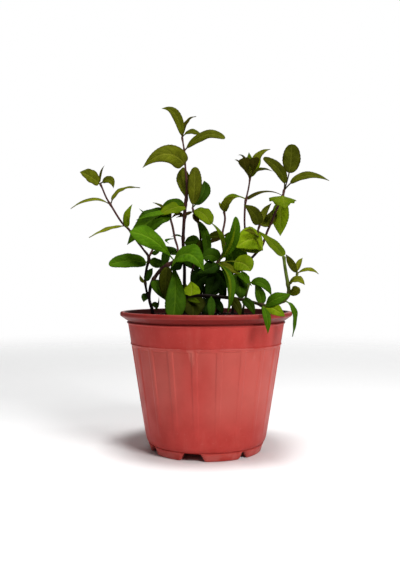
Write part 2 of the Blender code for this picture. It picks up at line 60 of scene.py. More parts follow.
# Pot: straight tapering wall, rolled lip, and panels let into the wall between narrow ribs.
WALL = 1.5
RING_Z = 78.8
RING_RADIUS = 56.5
WALL_SLOPE = 0.158
FLOOR_TOP = 7.6
FLOOR_RADIUS = 41.6
CORNER_Z = 12.0
FOOT_Z = 6.0
BEAD_Z = 79.8
PANELS = 20
PANEL_DEPTH = 0.6
PANEL_FOOT_DEPTH = 0.1
PANEL_TOP = 78.0
PANEL_FOOT = 14.0
# Columns of one panel, in degrees from the middle of the rib at its left.
PANEL_COLUMNS = (0, 1.3, 1.8, 2.1, 2.4, 2.9, 3.8, 5.2, 7.1, 9, 10.9, 12.8, 14.2, 15.1, 15.6, 15.9, 16.2, 16.7)
RIB_HALF = 2.1
RIB_SHOULDER = 0.5
# The foot ring's section: share of the way down, and radius.
FOOT_RING = (
    (0.02, 43.5), (0.1, 43.6), (0.4, 42.9), (0.8, 42.2), (0.95, 41.9), (1.0, 41.5), (1.0, 40.1),
    (0.9, 39.8), (0.5, 40.1), (0.0, 40.4),
)
# The gaps between the feet, in degrees: each middle, from the front towards +X, and its width.
FOOT_GAPS = ((-66, 17), (-14, 24), (39, 10), (84, 18), (128, 14), (172, 22), (-122, 12))
FOOT_GAP_TOP = 5.3
FOOT_SLANT = 4.5
DRAIN_HOLES = 6
DRAIN_CIRCLE = 26.0
DRAIN_RADIUS = 4.0
DRAIN_TURN = 7
UNDERSIDE = ((38.0, FOOT_Z), (20.0, FOOT_Z))
# Angles in degrees from which an edge stays crisp, on the pot and on a stem.
POT_CREASE = 40
STEM_CREASE = 50

# Marks of use on the pot, with painted shade round the rim and inside it and a painted highlight on the
# lip's top, and the heights between which each sets in or fades out.
POT_MARKS = ("wear_and_lip_highlight", "dust", "soil_stain_and_shade", "rim_shade", "fading")
# The lip's pale rubbed top is also a painted highlight.
LIP_RUB_AND_HIGHLIGHT = (POT_TOP - 2.6, POT_TOP - 0.4)
FOOT_RUBBED = (6.5, 4.0)
DUST_STARTS, DUST_ENDS = (52, 76), (80.5, 78.5)
# Inside the pot, below this line, the wall is painted nearly black: soil stain and painted shade.
STAIN_AND_SHADE_LINE = (104.8, 103.0)
# Painted shade round the rim: strongest in the band under the lip, weaker on the lip's outer face.
RIM_SHADE_STARTS, RIM_SHADE_ENDS = (95.0, 96.4), (101.2, 100.3)
FADING_STARTS, FADING_ENDS = (12, 45), (80.5, 78.0)

# Soil: a low mound, rough with lumps and crumbs. Each size of lumps has its height, its fineness and its
# place in the noise.
SOIL_EDGE_Z = 98.6
SOIL_MOUND = 2.4
SOIL_LUMPS = ((0.9, 0.11, 3.0), (0.6, 0.37, 8.0), (0.3, 1.3, 1.0))
SOIL_GAP = 0.25
SOIL_RINGS = 60
SOIL_STEPS = 150
# What lies on the soil: the piece's name, how many there are, and their least and greatest radius. They
# keep off the wall, and the larger ones have more faces.
CRUMBS = ("soil_crumbs", 900, 0.5, 1.7)
GRIT = ("soil_grit", 26, 0.45, 0.95)
CRUMB_EDGE = 2.2
CRUMB_FINE = 0.9
CRUMB_ROUGH = 0.35

# Stems: how far apart the rings of a stem are, how square it is, how it swells at a pair of leaves, how far
# its flat sides lie from its axis beside its half width, and how old a side branch is at its start.
STEM_STEP = 0.8
STEM_SIDES = 16
STEM_SQUARE = 3.4
NODE_SWELLING = 0.45
NODE_LENGTH = 1.5
NODE_REACH = 3
FLAT_SIDE = 0.94
SIDE_BRANCH = 0.6

# Leaves: spacing of rows and columns, half thicknesses, relief of the midrib on each face, and the margin.
ROW_LENGTH = 0.62
LEAST_ROWS = 18
STALK_ROWS = 6
END_CROWDING = 0.056
LEAF_COLUMNS = 8
COLUMN_CROWDING = 1.15
BLADE_HALF = 0.16
STALK_HALF = 0.55
STALK_TAPER = 0.25
STALK_DEPTH = 0.85
# A narrower leaf has a thinner stalk.
FULL_STALK_WIDTH = 7
# The blade opens out of the stalk between these half widths, beside the stalk's own.
BLADE_OPENS = (0.8, 2.4)
EDGE_HALF = 0.04
MIDRIB_HALF = 0.42
MIDRIB_GROOVE = 0.10
MIDRIB_RIDGE = 0.34
QUILT = 0.024
FOLD_ROUND = 0.1
MARGIN_THINNING = 0.75
TOOTH_LENGTH = 2.6
TOOTH_NOTCH = 0.06
TOOTH_BACK = 0.8
VEIN_SWEEP = 0.32
VEIN_CURVE = 1.25
# What each leaf draws for itself: the waves of its margin and their height beside its width, its twist in
# degrees, how much wider one half is, and how far its sides curl down.
LEAF_WAVES = (1.5, 3.1)
LEAF_WAVE = (0.02, 0.055)
LEAF_TWIST = (-9, 9)
LEAF_LEAN = (-0.05, 0.05)
LEAF_CURL = (0.02, 0.10)
# Outlines of a blade: where it is widest, as a share of its length, and how its base and its tip draw in
# (high is pointed, low is round).
OUTLINES = {
    "slender": (0.42, 0.72, 1.20), "lanceolate": (0.42, 0.58, 1.08), "ovate": (0.40, 0.48, 0.98),
    "broad": (0.42, 0.42, 0.82), "egg": (0.32, 0.38, 0.95), "blunt": (0.52, 0.45, 0.50),
    "elliptic": (0.50, 0.45, 0.42), "oblong": (0.50, 0.55, 0.42), "obovate": (0.62, 0.90, 0.80),
    "wedge": (0.84, 0.50, 0.25), "paddle": (0.74, 0.52, 0.42), "cut": (0.40, 0.42, 0.45),
    "fan": (0.24, 0.22, 0.85), "awl": (0.18, 0.60, 0.95),
}

# Each stem: points on its axis (x, y, z) and its half width there.
STEMS = {
    "left_stem": [
        (-40, -5, 93, 0.9), (-40, -5, 104, 0.9), (-43, -6, 113, 0.9), (-45, -6, 120, 0.9),
        (-46, -5, 128, 0.9), (-45, -4, 136, 1.0), (-43.5, -2, 144.5, 1.1), (-48, 2, 151, 0.8),
        (-53, 5, 157.5, 0.9), (-60, 9, 167, 0.9), (-66, 11, 173, 0.8), (-74, 14, 185.5, 0.8),
        (-78, 15, 192, 0.7), (-81.5, 16, 200, 0.7), (-83, 16, 203, 0.7),
    ],
    "arching_stem": [
        (-40, -15, 93, 1.1), (-40, -15, 104, 1.1), (-42, -14, 112, 1.1), (-42, -14, 118, 1.2),
        (-40.5, -14, 125, 1.3), (-37, -14, 131, 1.4), (-32.5, -16, 136, 1.5), (-27.5, -17, 139, 1.4),
        (-23.5, -17, 141.5, 1.3), (-21.3, -14, 146, 0.9), (-21.3, -10, 151.5, 0.7), (-23.4, -8, 158.5, 0.8),
        (-25.2, -6, 167.5, 0.8), (-26.8, -5, 173.5, 0.8), (-26.8, -4, 178, 0.7),
    ],
    "tall_stem": [
        (-16, 2, 93, 1.5), (-16, 2, 105, 1.5), (-16.5, 2, 124, 1.4), (-16.5, 2, 137, 1.3),
        (-17.5, 3, 156, 1.3), (-17, 3, 170, 1.3), (-16.4, 3, 177, 1.4), (-16, 3, 184.5, 1.4),
        (-15, 3, 190.5, 1.3), (-14.6, 3, 200, 1.1), (-15.7, 2, 212.5, 0.8), (-16.4, 1, 224.5, 0.7),
        (-18.2, 0, 236, 0.65),
    ],
    "inner_stem": [
        (-10.5, -6, 93, 1.0), (-10.5, -6, 105, 1.0), (-10.8, -6, 120, 0.9), (-11, -5, 131, 0.9),
        (-8.4, -4, 141, 0.8), (-4.8, -2, 150, 0.8), (-4.2, 0, 158, 0.8), (-4.6, 0, 164, 0.8),
        (-5.7, 0, 169.5, 0.8), (-7, 0, 174.5, 0.8), (-9.2, 0, 179, 0.8), (-10.3, 0, 182.5, 0.8),
    ],
    "middle_stem": [
        (0, -11, 93, 1.2), (0, -11, 105, 1.2), (1.4, -12, 120, 1.1), (4.3, -14, 131, 1.2),
        (8.3, -16, 139.7, 1.3), (13, -10, 148.5, 0.9), (14.3, -5, 155, 0.9), (12.6, 0, 162.5, 0.8),
        (14, 3, 170, 0.8), (14.6, 4, 175, 0.8), (13.9, 5, 180, 0.7),
    ],
    "upright_stem": [
        (21, 12, 93, 1.1), (21, 12, 105, 1.1), (22, 12, 123.5, 1.0), (26.5, 12, 137, 0.9),
        (29.3, 12, 149.5, 0.9), (30.5, 12, 162, 0.8), (30.1, 12, 174.5, 0.8), (30.7, 12, 187, 0.9),
        (32.1, 12, 194, 0.7), (33.4, 12, 200, 0.7), (34.4, 12, 207, 0.7),
    ],
    "right_stem": [
        (9, 3, 93, 1.3), (9, 3, 106, 1.3), (12, 2, 119.5, 1.2), (18.5, 0, 128.5, 1.1), (24, 0, 133, 1.1),
        (34, 0, 143.5, 1.0), (38.2, 0, 148, 1.0), (42.3, 0, 153, 1.1), (45, 1, 159.5, 0.9), (47, 2, 165, 0.9),
        (50.2, 3, 172, 0.9), (53, 4, 179, 0.9), (56, 5, 185.5, 0.9), (59, 5, 192, 1.0), (60.2, 6, 197, 0.7),
    ],
    "trailing_stem": [
        (-27.5, -26, 93, 1.1), (-27.5, -26, 104, 1.1), (-20, -30, 112, 1.2), (-11.5, -32, 114.8, 1.3),
        (-4.6, -34, 116.3, 1.3), (6, -36, 115.8, 1.3), (18, -38, 114.6, 1.2), (27, -40, 113.2, 1.1),
        (36, -44, 110.8, 1.1), (41, -47.5, 109.3, 1.3), (47.5, -47, 110.4, 1.1), (54, -42.5, 113, 1.1),
        (58, -38, 117.5, 1.2), (57.8, -36, 124, 1.3), (56.9, -34, 130.3, 1.2), (55.9, -32, 138.2, 1.1),
        (55.5, -31, 143.6, 1.1),
    ],
    "short_shoot": [
        (26, -31, 93, 0.9), (26, -31, 104, 0.9), (27.6, -32, 113, 0.8), (29, -33, 119.5, 0.8),
        (30.6, -34, 125.3, 0.8),
    ],
}
# Side branches: the main point that each starts at, and its own points.
BRANCHES = {
    "left_stem": (6, [(-41, 2, 150.5, 0.8), (-40, 5, 154.5, 0.7), (-38.5, 8, 158, 0.7)]),
    "right_stem": (7, [(39.2, -3, 159.5, 0.8), (39.2, -4, 164.5, 0.7), (40.3, -5, 168.6, 0.7)]),
    "trailing_stem": (13, [(61.2, -34, 127, 0.8), (64.2, -32, 129.4, 0.7), (65.2, -30, 132.8, 0.7)]),
}


# Directions in which the upper faces of many leaves look.
FRONT = (0, -9, 2)
RAISED = (0, -8, 5)


class Leaf(NamedTuple):
    """Where its stalk leaves the stem, the point its midrib bends towards, its tip and its width; its
    outline, its kind and its tone (0 is dark, 1 is bright, and a low tone paints shade on a leaf deep in
    the plant); its stalk's share of its length, its fold in degrees and the way its upper face looks."""

    root: tuple
    bend: tuple
    tip: tuple
    width: float
    outline: str
    kind: str
    tone: float
    stalk: float = 0.05
    fold: float = 8
    face: tuple = FRONT


# The leaves that the frame has, each with the values of a Leaf.
LEAVES = {
    "left_leaf_cupped": ((-83, 16, 202), (-91, 8, 209.5), (-97.5, 8, 211),
        13.5, "ovate", "young", 0.6, 0.06, 20, (3, -8, 5)),
    "left_leaf_low_side": ((-74.5, 14, 187), (-87.5, 8, 195), (-103.5, 2, 182),
        6, "slender", "young", 1.0, 0.1, 10, (0, -5, 8)),
    "left_leaf_far_side": ((-74, 14, 187), (-71, 19, 203), (-52, 20, 200.5),
        8.5, "slender", "young", 0.8, 0.1, 10, (-3, -4, 8)),
    "left_leaf_rising": ((-62, 7, 167.5), (-62.5, 0.5, 176.5), (-57, 8, 186),
        6, "ovate", "lime", 0.5, 0.05, 15, (-2, -9, 2)),
    "left_leaf_twisted": ((-63.5, 8, 169), (-75.5, 2, 168), (-88.5, -4, 159.5),
        6.5, "slender", "young", 1.0, 0.06, 10, (0, -4, 8)),
    "left_leaf_bright": ((-43, -4, 141), (-58.5, -16.5, 143.5), (-71.5, -19, 138.5),
        12.5, "cut", "mature", 0.5, 0.05, 8, (0, -8, 4)),
    "left_leaf_inward": ((-43, -3, 144), (-37.5, 0, 138), (-28, 3, 140.5),
        9, "ovate", "mature", 0.15, 0.06, 10, RAISED),
    "tall_leaf_top": ((-18, 0, 236), (-20.5, -5, 259), (-33.5, -6, 256.5),
        7.5, "lanceolate", "young", 0.62, 0.03, 14, (1, -9, 2)),
    "tall_leaf_top_far": ((-18, 0, 235), (-16, 2, 252), (-7.5, 4, 253),
        5.5, "slender", "bronze", 0.5, 0.05, 20, (-5, -5, 5)),
    "tall_leaf_top_side": ((-17.5, 1, 238), (-13, 0, 243.5), (-4, 3, 239),
        5.5, "obovate", "young", 0.45, 0.06, 12, (0, -8, 4)),
    "tall_leaf_right": ((-16, 1, 226.5), (0, -7.5, 243.5), (14, -10, 233),
        9, "oblong", "young", 0.5, 0.05, 8, (0, -8, 4)),
    "tall_leaf_left": ((-14, -1, 215), (-29, -12, 230.5), (-47.5, -9, 211.5),
        16.5, "egg", "young", 0.68, 0.02, 8, (0, -8, 2)),
    "tall_leaf_behind": ((-14.5, 4, 189), (-18.5, 9.5, 201.5), (-17.5, 9, 215),
        11, "obovate", "young", 0.5, 0.03, 8, (1, -9, 1)),
    "tall_leaf_low_left": ((-16, 2, 185), (-25, -5, 188.5), (-34.5, -4, 182),
        7.5, "ovate", "mature", 0.2, 0.04, 10, RAISED),
    "tall_leaf_hidden": ((-15.5, 2, 156), (-11, -2.5, 156.5), (-5, -5, 157.5),
        10, "blunt", "mature", 0.1, 0.08, 10),
    "inner_leaf_oval": ((-9, 0, 186), (-8, -5, 199), (-8.5, 6, 214.5), 11, "oblong", "young", 0.5, 0.06),
    "inner_leaf_back": ((-8.5, 3, 186.5), (2, 10.5, 197.5), (-1.5, 16, 205.5),
        11.5, "ovate", "mature", 0.1, 0.08, 8, (-2, -9, 3)),
    "inner_leaf_lime": ((-9, -2, 180.5), (-0.5, -9, 179.5), (3, -12, 168.5),
        12, "blunt", "lime", 0.38, 0.04, 10, (1, -8, 4)),
    "inner_leaf_hanging": ((-2.5, -3, 175), (3.5, -9.5, 160), (0, -10, 141),
        7, "oblong", "mature", 0.3, 0.05, 10),
    "arching_leaf_upper": ((-23.5, -5, 178), (-41, -16, 176.5), (-58.5, -15, 153.5),
        19.5, "ovate", "mature", 0.25, 0.04, 6, (-1, -8, 5)),
    "arching_leaf_bright": ((-25, -17, 143), (-38.5, -33, 161), (-55, -33, 161.5),
        17.5, "obovate", "mature", 0.68, 0.03, 7, (1, -8, 4)),
    "arching_leaf_front": ((-27, -18, 144), (-10.5, -45.5, 153.5), (-2, -43, 133.5),
        20, "egg", "mature", 0.6, 0.02, 7, RAISED),
    "arching_leaf_hanging": ((-22.5, -19, 137), (-20, -41, 122), (-23, -51, 100.5),
        15, "paddle", "mature", 0.22, 0.02, 9, (0, -9, 1)),
    "arching_leaf_brown": ((-28, -17, 138.5), (-30.5, -22.5, 130), (-29, -22, 114.5),
        11, "oblong", "young", 0.12, 0.04, 8, (-2, -9, 2)),
    "middle_leaf_upright": ((12.5, -16, 141), (22, -31, 153), (21, -30, 173),
        8.5, "blunt", "mature", 0.5, 0.08, 12, (2, -9, 1)),
    "middle_leaf_hanging": ((9, -17, 139.5), (22, -51.5, 130.5), (14, -52, 104),
        7.5, "lanceolate", "mature", 0.27, 0.1, 10, (3, -9, 1)),
    "middle_leaf_dark": ((11.5, -17, 140.5), (5, -20, 149.5), (-5, -23, 142),
        12.5, "lanceolate", "mature", 0.12, 0.04, 8, (0, -9, 3)),
    "middle_leaf_bright": ((9.5, -17, 140), (28, -38.5, 143), (30.5, -42, 133.5),
        15, "broad", "lime", 0.5, 0.36, 7, (-1, -9, 3)),
    "middle_leaf_top": ((14, 5, 179.5), (14, 0, 187), (22, -4, 190.5),
        8.5, "ovate", "young", 0.9, 0.06, 15, (-4, -8, 3)),
    "upright_leaf_left": ((34.5, 11, 206), (31, 5.5, 212), (28.5, 2, 221),
        9.5, "wedge", "bronze", 0.36, 0.04, 10, (1, -9, 1)),
    "upright_leaf_top": ((35.5, 12, 207), (37.5, 13, 228), (50, 10, 229),
        7, "lanceolate", "young", 0.85, 0.06, 12, (-2, -8, 4)),
    "upright_leaf_low_left": ((30.5, 12, 190.5), (16, 9, 198), (14, 6, 179.5),
        7, "obovate", "lime", 0.42, 0.06, 10, (-2, -9, 3)),
    "upright_leaf_low_right": ((31, 12, 189.5), (47.5, 13, 202), (62.5, 22, 193.5),
        5, "awl", "bronze", 0.6, 0.02, 10, (0, -5, 8)),
    "right_leaf_oval": ((60, 6, 196), (67, 10, 214), (66.5, 10, 233),
        14.5, "elliptic", "young", 0.28, 0.39, 7, (0, -9, 1)),
    "right_leaf_left": ((60.5, 6, 196.5), (63, 3, 211.5), (43.5, 0, 220.5),
        9, "oblong", "young", 0.28, 0.18, 12, (1, -9, 2)),
    "right_leaf_far": ((60, 6, 196), (73, -1, 214), (93, -4, 202.5),
        7.5, "lanceolate", "young", 0.45, 0.17, 10, RAISED),
    "right_leaf_forward": ((59, 4, 192), (57, -13, 188.5), (58, -18, 180),
        21, "fan", "lime", 0.36, 0.03, -8, (0, -6, 7)),
    "right_leaf_hanging": ((59, 5, 190), (58.5, 20, 176.5), (58.5, 16, 162),
        14, "ovate", "lime", 0.62, 0.08, 10, (0, -9, 1)),
    "right_leaf_low": ((45.5, -1, 155), (34, -17.5, 161.5), (22, -20, 151),
        21, "broad", "lime", 0.72, 0.03, 7, (0, -9, 3)),
    "right_leaf_dark": ((25.5, -5, 130), (25.5, -24.5, 120.5), (25, -26, 113),
        14, "ovate", "mature", 0.15, 0.03, 8, (1, -9, 2)),
    "side_leaf_left": ((40.5, -5, 167.5), (38, -11.5, 178), (28, -12, 183.5),
        10.5, "ovate", "young", 0.2, 0.06, 12, (1, -9, 3)),
    "side_leaf_right": ((40.5, -4, 167), (43.5, 5.5, 181), (51, 9, 187),
        5.5, "lanceolate", "young", 0.7, 0.06, 12, (-2, -9, 2)),
    "trailing_leaf_top": ((56.5, -31, 144), (51, -25.5, 152), (38.5, -14, 164),
        8.5, "ovate", "lime", 0.27, 0.03, 10, (1, -8, 5)),
    "trailing_leaf_shoot": ((65, -31, 132), (59, -40, 140), (55.5, -41, 145.5),
        5.5, "lanceolate", "young", 0.3, 0.05, 12, (-2, -9, 3)),
    "trailing_leaf_dark": ((40.5, -48, 111), (46.5, -59, 116), (58, -50, 117.5),
        9.5, "ovate", "mature", 0.4, 0.03, 8, RAISED),
    "trailing_leaf_lime": ((42.5, -48, 111.5), (45, -60, 108.5), (52.5, -60, 103),
        9, "broad", "lime", 0.6, 0.04, 8, (0, -9, 3)),
    "trailing_leaf_outer": ((54, -42.5, 112.5), (64, -48, 110), (59.5, -46, 88),
        7, "lanceolate", "mature", 0.42, 0.14, 12, (7, -6, 4)),
    "trailing_leaf_over_rim": ((38.5, -46, 110.5), (41, -69, 103), (41, -60, 91),
        5.5, "lanceolate", "mature", 0.45, 0.08, 10, (1, -9, 3)),
    "shoot_leaf_right": ((31.5, -34, 126.5), (40.5, -43.5, 129), (45.5, -43, 116),
        8.5, "lanceolate", "mature", 0.28, 0.05, 10, (2, -8, 4)),
}
# Leaves that the frame has no node for: the smallest ones, and dark ones that fill the plant's middle;
# their near-black colour is painted shade.
SMALL_LEAVES = {
    "left_leaf_curling": ((-82.5, 16, 204.5), (-73, 10, 210), (-72, 12, 199),
        7, "ovate", "young", 0.55, 0.1, 12, (0, -8, 4)),
    "left_leaf_needle": ((-83, 16, 205.5), (-84.5, 18, 212), (-80, 20, 218.5),
        2, "slender", "bronze", 0.5, 0.06, 25, (5, -8, 1)),
    "left_leaf_bud": ((-45.5, -5, 125), (-43.5, -6.5, 133), (-40.5, -2, 136.5),
        6, "ovate", "shaded", 0.35, 0.1, 12, RAISED),
    "left_leaf_sliver": ((-46, -6, 125), (-49, -9, 127.5), (-49.5, -10, 131.5),
        3, "slender", "young", 0.6, 0.1, 15, (-3, -8, 2)),
    "left_leaf_low": ((-43.5, -6, 115), (-46, -9, 116), (-46.5, -12, 111),
        6.5, "ovate", "shaded", 0.3, 0.1, 10),
    "left_leaf_branch": ((-43, 1, 147.5), (-39.5, 3.5, 147), (-34.5, 4, 151.5),
        4.5, "ovate", "shaded", 0.3, 0.1, 12, RAISED),
    "arching_leaf_dark": ((-38, -14, 128), (-36.5, -18, 123.5), (-28.5, -17, 111.5),
        9, "ovate", "mature", 0.3, 0.06, 10, (1, -8, 3)),
    "arching_leaf_top": ((-25, -4, 176), (-34, -8, 184.5), (-40, -8, 185.5),
        3.5, "slender", "young", 0.3, 0.05, 15, (0, -6, 7)),
    "tall_leaf_low_right": ((-16, 3, 176.5), (-21.5, 2.5, 180.5), (-27, 4, 174.5),
        3, "slender", "dying", 0.4, 0.05, 15, RAISED),
    "inner_leaf_brown": ((-9, 0, 180), (-16, 2, 177.5), (-23, 4, 175.5),
        3.5, "lanceolate", "dying", 0.5, 0.06, 12, RAISED),
    "middle_leaf_back": ((16, 0, 141), (16, -5, 152.5), (20.5, -6, 163.5), 13, "oblong", "mature", 0.3),
    "middle_leaf_top_far": ((14, 5, 179.5), (12, 8, 185), (10, 10, 188),
        4, "lanceolate", "young", 0.6, 0.1, 15, (4, -8, 3)),
    "middle_leaf_edge": ((17, -13, 146), (14.5, -19.5, 161.5), (2.5, -16, 170.5),
        4.5, "slender", "lime", 0.3, 0.05, 10, (5, -8, 3)),
    "middle_leaf_back_left": ((12, 0, 160.5), (8, 4, 162), (1, 4, 160.5), 7.5, "broad", "young", 0.15),
    "middle_leaf_low": ((8, -14, 134), (6.5, -22, 124.5), (-1, -26, 115), 12.5, "lanceolate", "shaded", 0.04),
    "middle_leaf_olive": ((9.5, -17, 139.5), (16.5, -19.5, 137.5), (25, -16, 131),
        6.5, "ovate", "young", 0.55, 0.06, 10, RAISED),
    "upright_leaf_right": ((35.5, 11, 207.5), (40, 6.5, 216.5), (51, 4, 211),
        4, "slender", "young", 0.35, 0.06, 12, (0, -7, 6)),
    "upright_leaf_hooked": ((33.5, 13, 213.5), (31.5, 13, 227.5), (25, 13, 225),
        2.5, "slender", "bronze", 0.4, 0.03, 15, (3, -8, 3)),
    "upright_leaf_needle": ((35.5, 14, 209), (35, 19, 221), (34, 19, 228.5),
        6.5, "lanceolate", "lime", 0.4, 0.03, 15, (-2, -9, 2)),
    "trailing_leaf_shoot_far": ((65.5, -31, 132), (73, -36.5, 138), (79.5, -36, 131.5),
        4.5, "lanceolate", "young", 1.0, 0.05, 10, (0, -6, 7)),
    "trailing_leaf_shoot_up": ((65.5, -30, 133.5), (66, -26, 140), (70, -24, 143.5),
        4.5, "ovate", "young", 1.0, 0.08, 15, (-4, -8, 2)),
    "trailing_leaf_side": ((59, -36, 124.5), (63, -45, 131), (67.5, -50, 124),
        7, "ovate", "young", 0.85, 0.05, 10, RAISED),
    "trailing_leaf_round": ((58.5, -37, 118), (62, -45.5, 119.5), (64, -48, 122),
        7, "elliptic", "young", 0.85),
    "trailing_leaf_olive": ((38.5, -47, 110), (40.5, -52, 108), (43, -53, 103.5),
        6, "ovate", "young", 0.5, 0.05, 10),
    "trailing_leaf_upright": ((38.5, -45, 110.5), (38.5, -42.5, 116.5), (34, -38, 126.5),
        7.5, "ovate", "mature", 0.3, 0.03, 8, (-1, -9, 1)),
    "shoot_leaf_left": ((31.5, -34, 126.5), (28, -37, 128), (24, -40, 134.5),
        6.5, "ovate", "mature", 0.5, 0.05, 10, (2, -8, 4)),
    "front_leaf_lime": ((-9.5, -26, 113.5), (-9.5, -29, 120.5), (-11.5, -28, 126.5),
        13, "egg", "lime", 0.9, 0.03, 10),
    "low_leaf_green": ((3, -40, 115.5), (3, -48.5, 110.5), (3, -51, 101.5), 6, "oblong", "shaded", 0.35),
    "low_leaf_brown": ((14.5, -40, 115), (22.5, -44, 111.5), (23, -48, 102), 7, "broad", "young", 0.04),
    "low_leaf_dark": ((23.5, -41, 114), (31, -44, 112.5), (33, -47, 103), 6.5, "broad", "mature", 0.05),
    "low_leaf_olive": ((-10.5, -36, 114.5), (-9, -45, 111), (-9.5, -50, 100.5), 18, "broad", "young", 0.0),
    "left_leaf_tooth": ((-37.5, -24, 158.5), (-32.5, -20, 157.5), (-27.5, -16, 154.5),
        3, "slender", "shaded", 0.5, 0.05, 10, (0, -5, 8)),
    "left_leaf_dark_inner": ((-34.5, -8, 141), (-28, -10, 147), (-32, -12, 153),
        6.5, "ovate", "shaded", 0.25, 0.06, 10, RAISED),
    "tall_leaf_low_lime": ((-15.5, 0, 183.5), (-23, -12, 183), (-38, -12, 174.5),
        12, "lanceolate", "lime", 0.36, 0.04, 10, RAISED),
    "tall_leaf_twig": ((-16.5, 3, 159.5), (-21.5, 2, 163), (-26.5, 1, 160.5),
        2.5, "slender", "shaded", 0.5, 0.1, 15, (0, -6, 7)),
    "inner_leaf_brown_low": ((-9.5, -2, 179), (-7.5, -6, 174), (-5.5, -6, 169.5),
        5, "lanceolate", "dying", 0.45, 0.06, 12, RAISED),
    "arching_leaf_upper_edge": ((-22.5, -6, 181), (-35.5, -18, 178.5), (-51.5, -18, 171.5),
        5.5, "lanceolate", "mature", 0.55, 0.04, 8, (0, -7, 6)),
    "arching_leaf_sliver": ((-31, -6, 173.5), (-45, -10, 174.5), (-50, -10, 181),
        3, "slender", "shaded", 0.7, 0.05, 15, (0, -6, 7)),
    "arching_leaf_inner": ((-22.5, -14, 152), (-26.5, -12, 151), (-32, -10, 153),
        3, "slender", "shaded", 0.2, 0.05, 15, (0, -6, 7)),
    "arching_leaf_back": ((-21, -12, 144), (-26.5, -5, 149.5), (-35, -2, 152),
        7, "ovate", "shaded", 0.3, 0.05, 10, RAISED),
    "middle_leaf_upright_edge": ((13, -18.5, 140.5), (21, -36, 152.5), (20, -33.5, 170),
        2, "slender", "lime", 0.42, 0.03, 8, (2, -9, 1)),
    "middle_leaf_hanging_edge": ((9.5, -18, 139), (20.5, -62, 131), (13.5, -58, 106.5),
        2, "slender", "lime", 0.25, 0.03, 8, (3, -9, 1)),
    "middle_leaf_under": ((10, -17, 139.5), (6.5, -23, 137.5), (-7, -25, 132),
        11, "lanceolate", "shaded", 0.12, 0.04),
    "middle_leaf_brown": ((13, 0, 159), (2, -4, 156.5), (-2.5, -8, 154.5),
        3.5, "ovate", "dying", 0.1, 0.05, 8, RAISED),
    "middle_leaf_brown_right": ((13.5, 0, 160.5), (18, -5, 162), (25.5, -6, 166),
        3.5, "lanceolate", "dying", 0.35, 0.05, 8, RAISED),
    "middle_leaf_low_left": ((-1, -10, 133.5), (-8, -15, 130), (-7.5, -16, 119.5),
        11, "broad", "shaded", 0.08),
    "middle_leaf_low_right": ((9, -8, 133.5), (10.5, -13, 123.5), (14.5, -14, 114),
        9, "broad", "shaded", 0.11),
    "middle_leaf_shadow": ((8, -6, 136.5), (0.5, -6, 132), (-12, -5, 133.5),
        10, "broad", "shaded", 0.04, 0.05, 8, RAISED),
    "middle_leaf_shadow_low": ((7.5, -2, 126), (2, -4, 122), (-2.5, -6, 113),
        11.5, "lanceolate", "shaded", 0.1),
    "back_leaf_dark": ((19.5, 10, 141.5), (26.5, 13, 147.5), (21, 12, 158),
        11, "broad", "shaded", 0.12, 0.05, 8, RAISED),
    "back_leaf_green": ((29.5, 12, 141.5), (28, 7, 151), (19.5, 6, 153),
        12.5, "broad", "mature", 0.2, 0.05, 8, RAISED),
    "back_leaf_low": ((12.5, 8, 135.5), (16.5, 8, 143), (23.5, 8, 144.5),
        10, "broad", "shaded", 0.1, 0.05, 8, RAISED),
    "tall_leaf_shadow": ((-15.5, 4, 144.5), (-11, -1, 143.5), (-5.5, -2, 133.5),
        10.5, "broad", "shaded", 0.08),
    "tall_leaf_shadow_left": ((-17, 6, 141.5), (-22.5, 6, 140.5), (-27, 6, 134.5),
        9.5, "broad", "shaded", 0.06),
    "tall_leaf_foot": ((-16, 4, 120), (-14, 2, 115), (-7.5, 0, 108.5), 12, "broad", "shaded", 0.0),
    "right_leaf_low_shade": ((43, -14, 156.5), (36, -22, 164), (27.5, -22, 163.5),
        6, "lanceolate", "young", 0.45, 0.03, 7, (0, -8, 4)),
    "right_leaf_low_olive": ((42.5, -2, 152), (35, -12, 148.5), (25, -14, 150.5),
        7.5, "ovate", "lime", 0.5, 0.03, 7, RAISED),
    "right_leaf_drooping": ((24, -10, 134), (27, -23, 130.5), (33, -24, 123),
        6.5, "lanceolate", "mature", 0.5, 0.04, 10, RAISED),
    "side_leaf_far": ((42, 0, 170), (52, 13, 173), (55.5, 16, 186),
        9.5, "ovate", "young", 0.45, 0.04, 8, (-1, -9, 2)),
    "front_leaf_lime_shade": ((-13.5, -24, 114.5), (-14, -24, 119.5), (-15, -24, 125),
        5, "ovate", "lime", 0.15, 0.03, 10),
    "low_leaf_shadow": ((-1, -20, 114.5), (1, -29, 109.5), (-2, -34, 102), 13, "broad", "shaded", 0.0),
    "low_leaf_shadow_right": ((13, -20, 114.5), (11.5, -24, 108.5), (11, -26, 103),
        6.5, "broad", "shaded", 0.05),
    "low_leaf_left": ((-28.5, -14, 112.5), (-36, -13, 111), (-37, -16, 104.5), 4.5, "ovate", "mature", 0.15),
    "upright_leaf_left_inner": ((35, 12, 206), (38.5, 10, 214.5), (36, 8, 222),
        9.5, "wedge", "bronze", 0.28, 0.04, 10, (0, -9, 1)),
    "upright_leaf_star": ((36, 14, 209.5), (42, 16, 221.5), (41.5, 16, 226),
        6, "ovate", "lime", 0.5, 0.03, 15),
    "low_leaf_olive_top": ((-14, -38, 114), (-10, -45, 113.5), (-4, -48, 111.5),
        5, "ovate", "lime", 0.1, 0.05, 8, RAISED),
    "tall_leaf_dark": ((-7, -5, 140.5), (-4, -6.5, 149.5), (-3, -6, 157.5), 9, "oblong", "young", 0.03),
    "upright_leaf_left_tip": ((30, 4, 217.5), (25.5, 9, 222), (22, 6, 220),
        2.5, "slender", "bronze", 0.5, 0.02, 10, (1, -8, 4)),
    "tall_leaf_foot_far": ((-1.5, -6, 132), (-3.5, -10.5, 121.5), (-7, -9, 114),
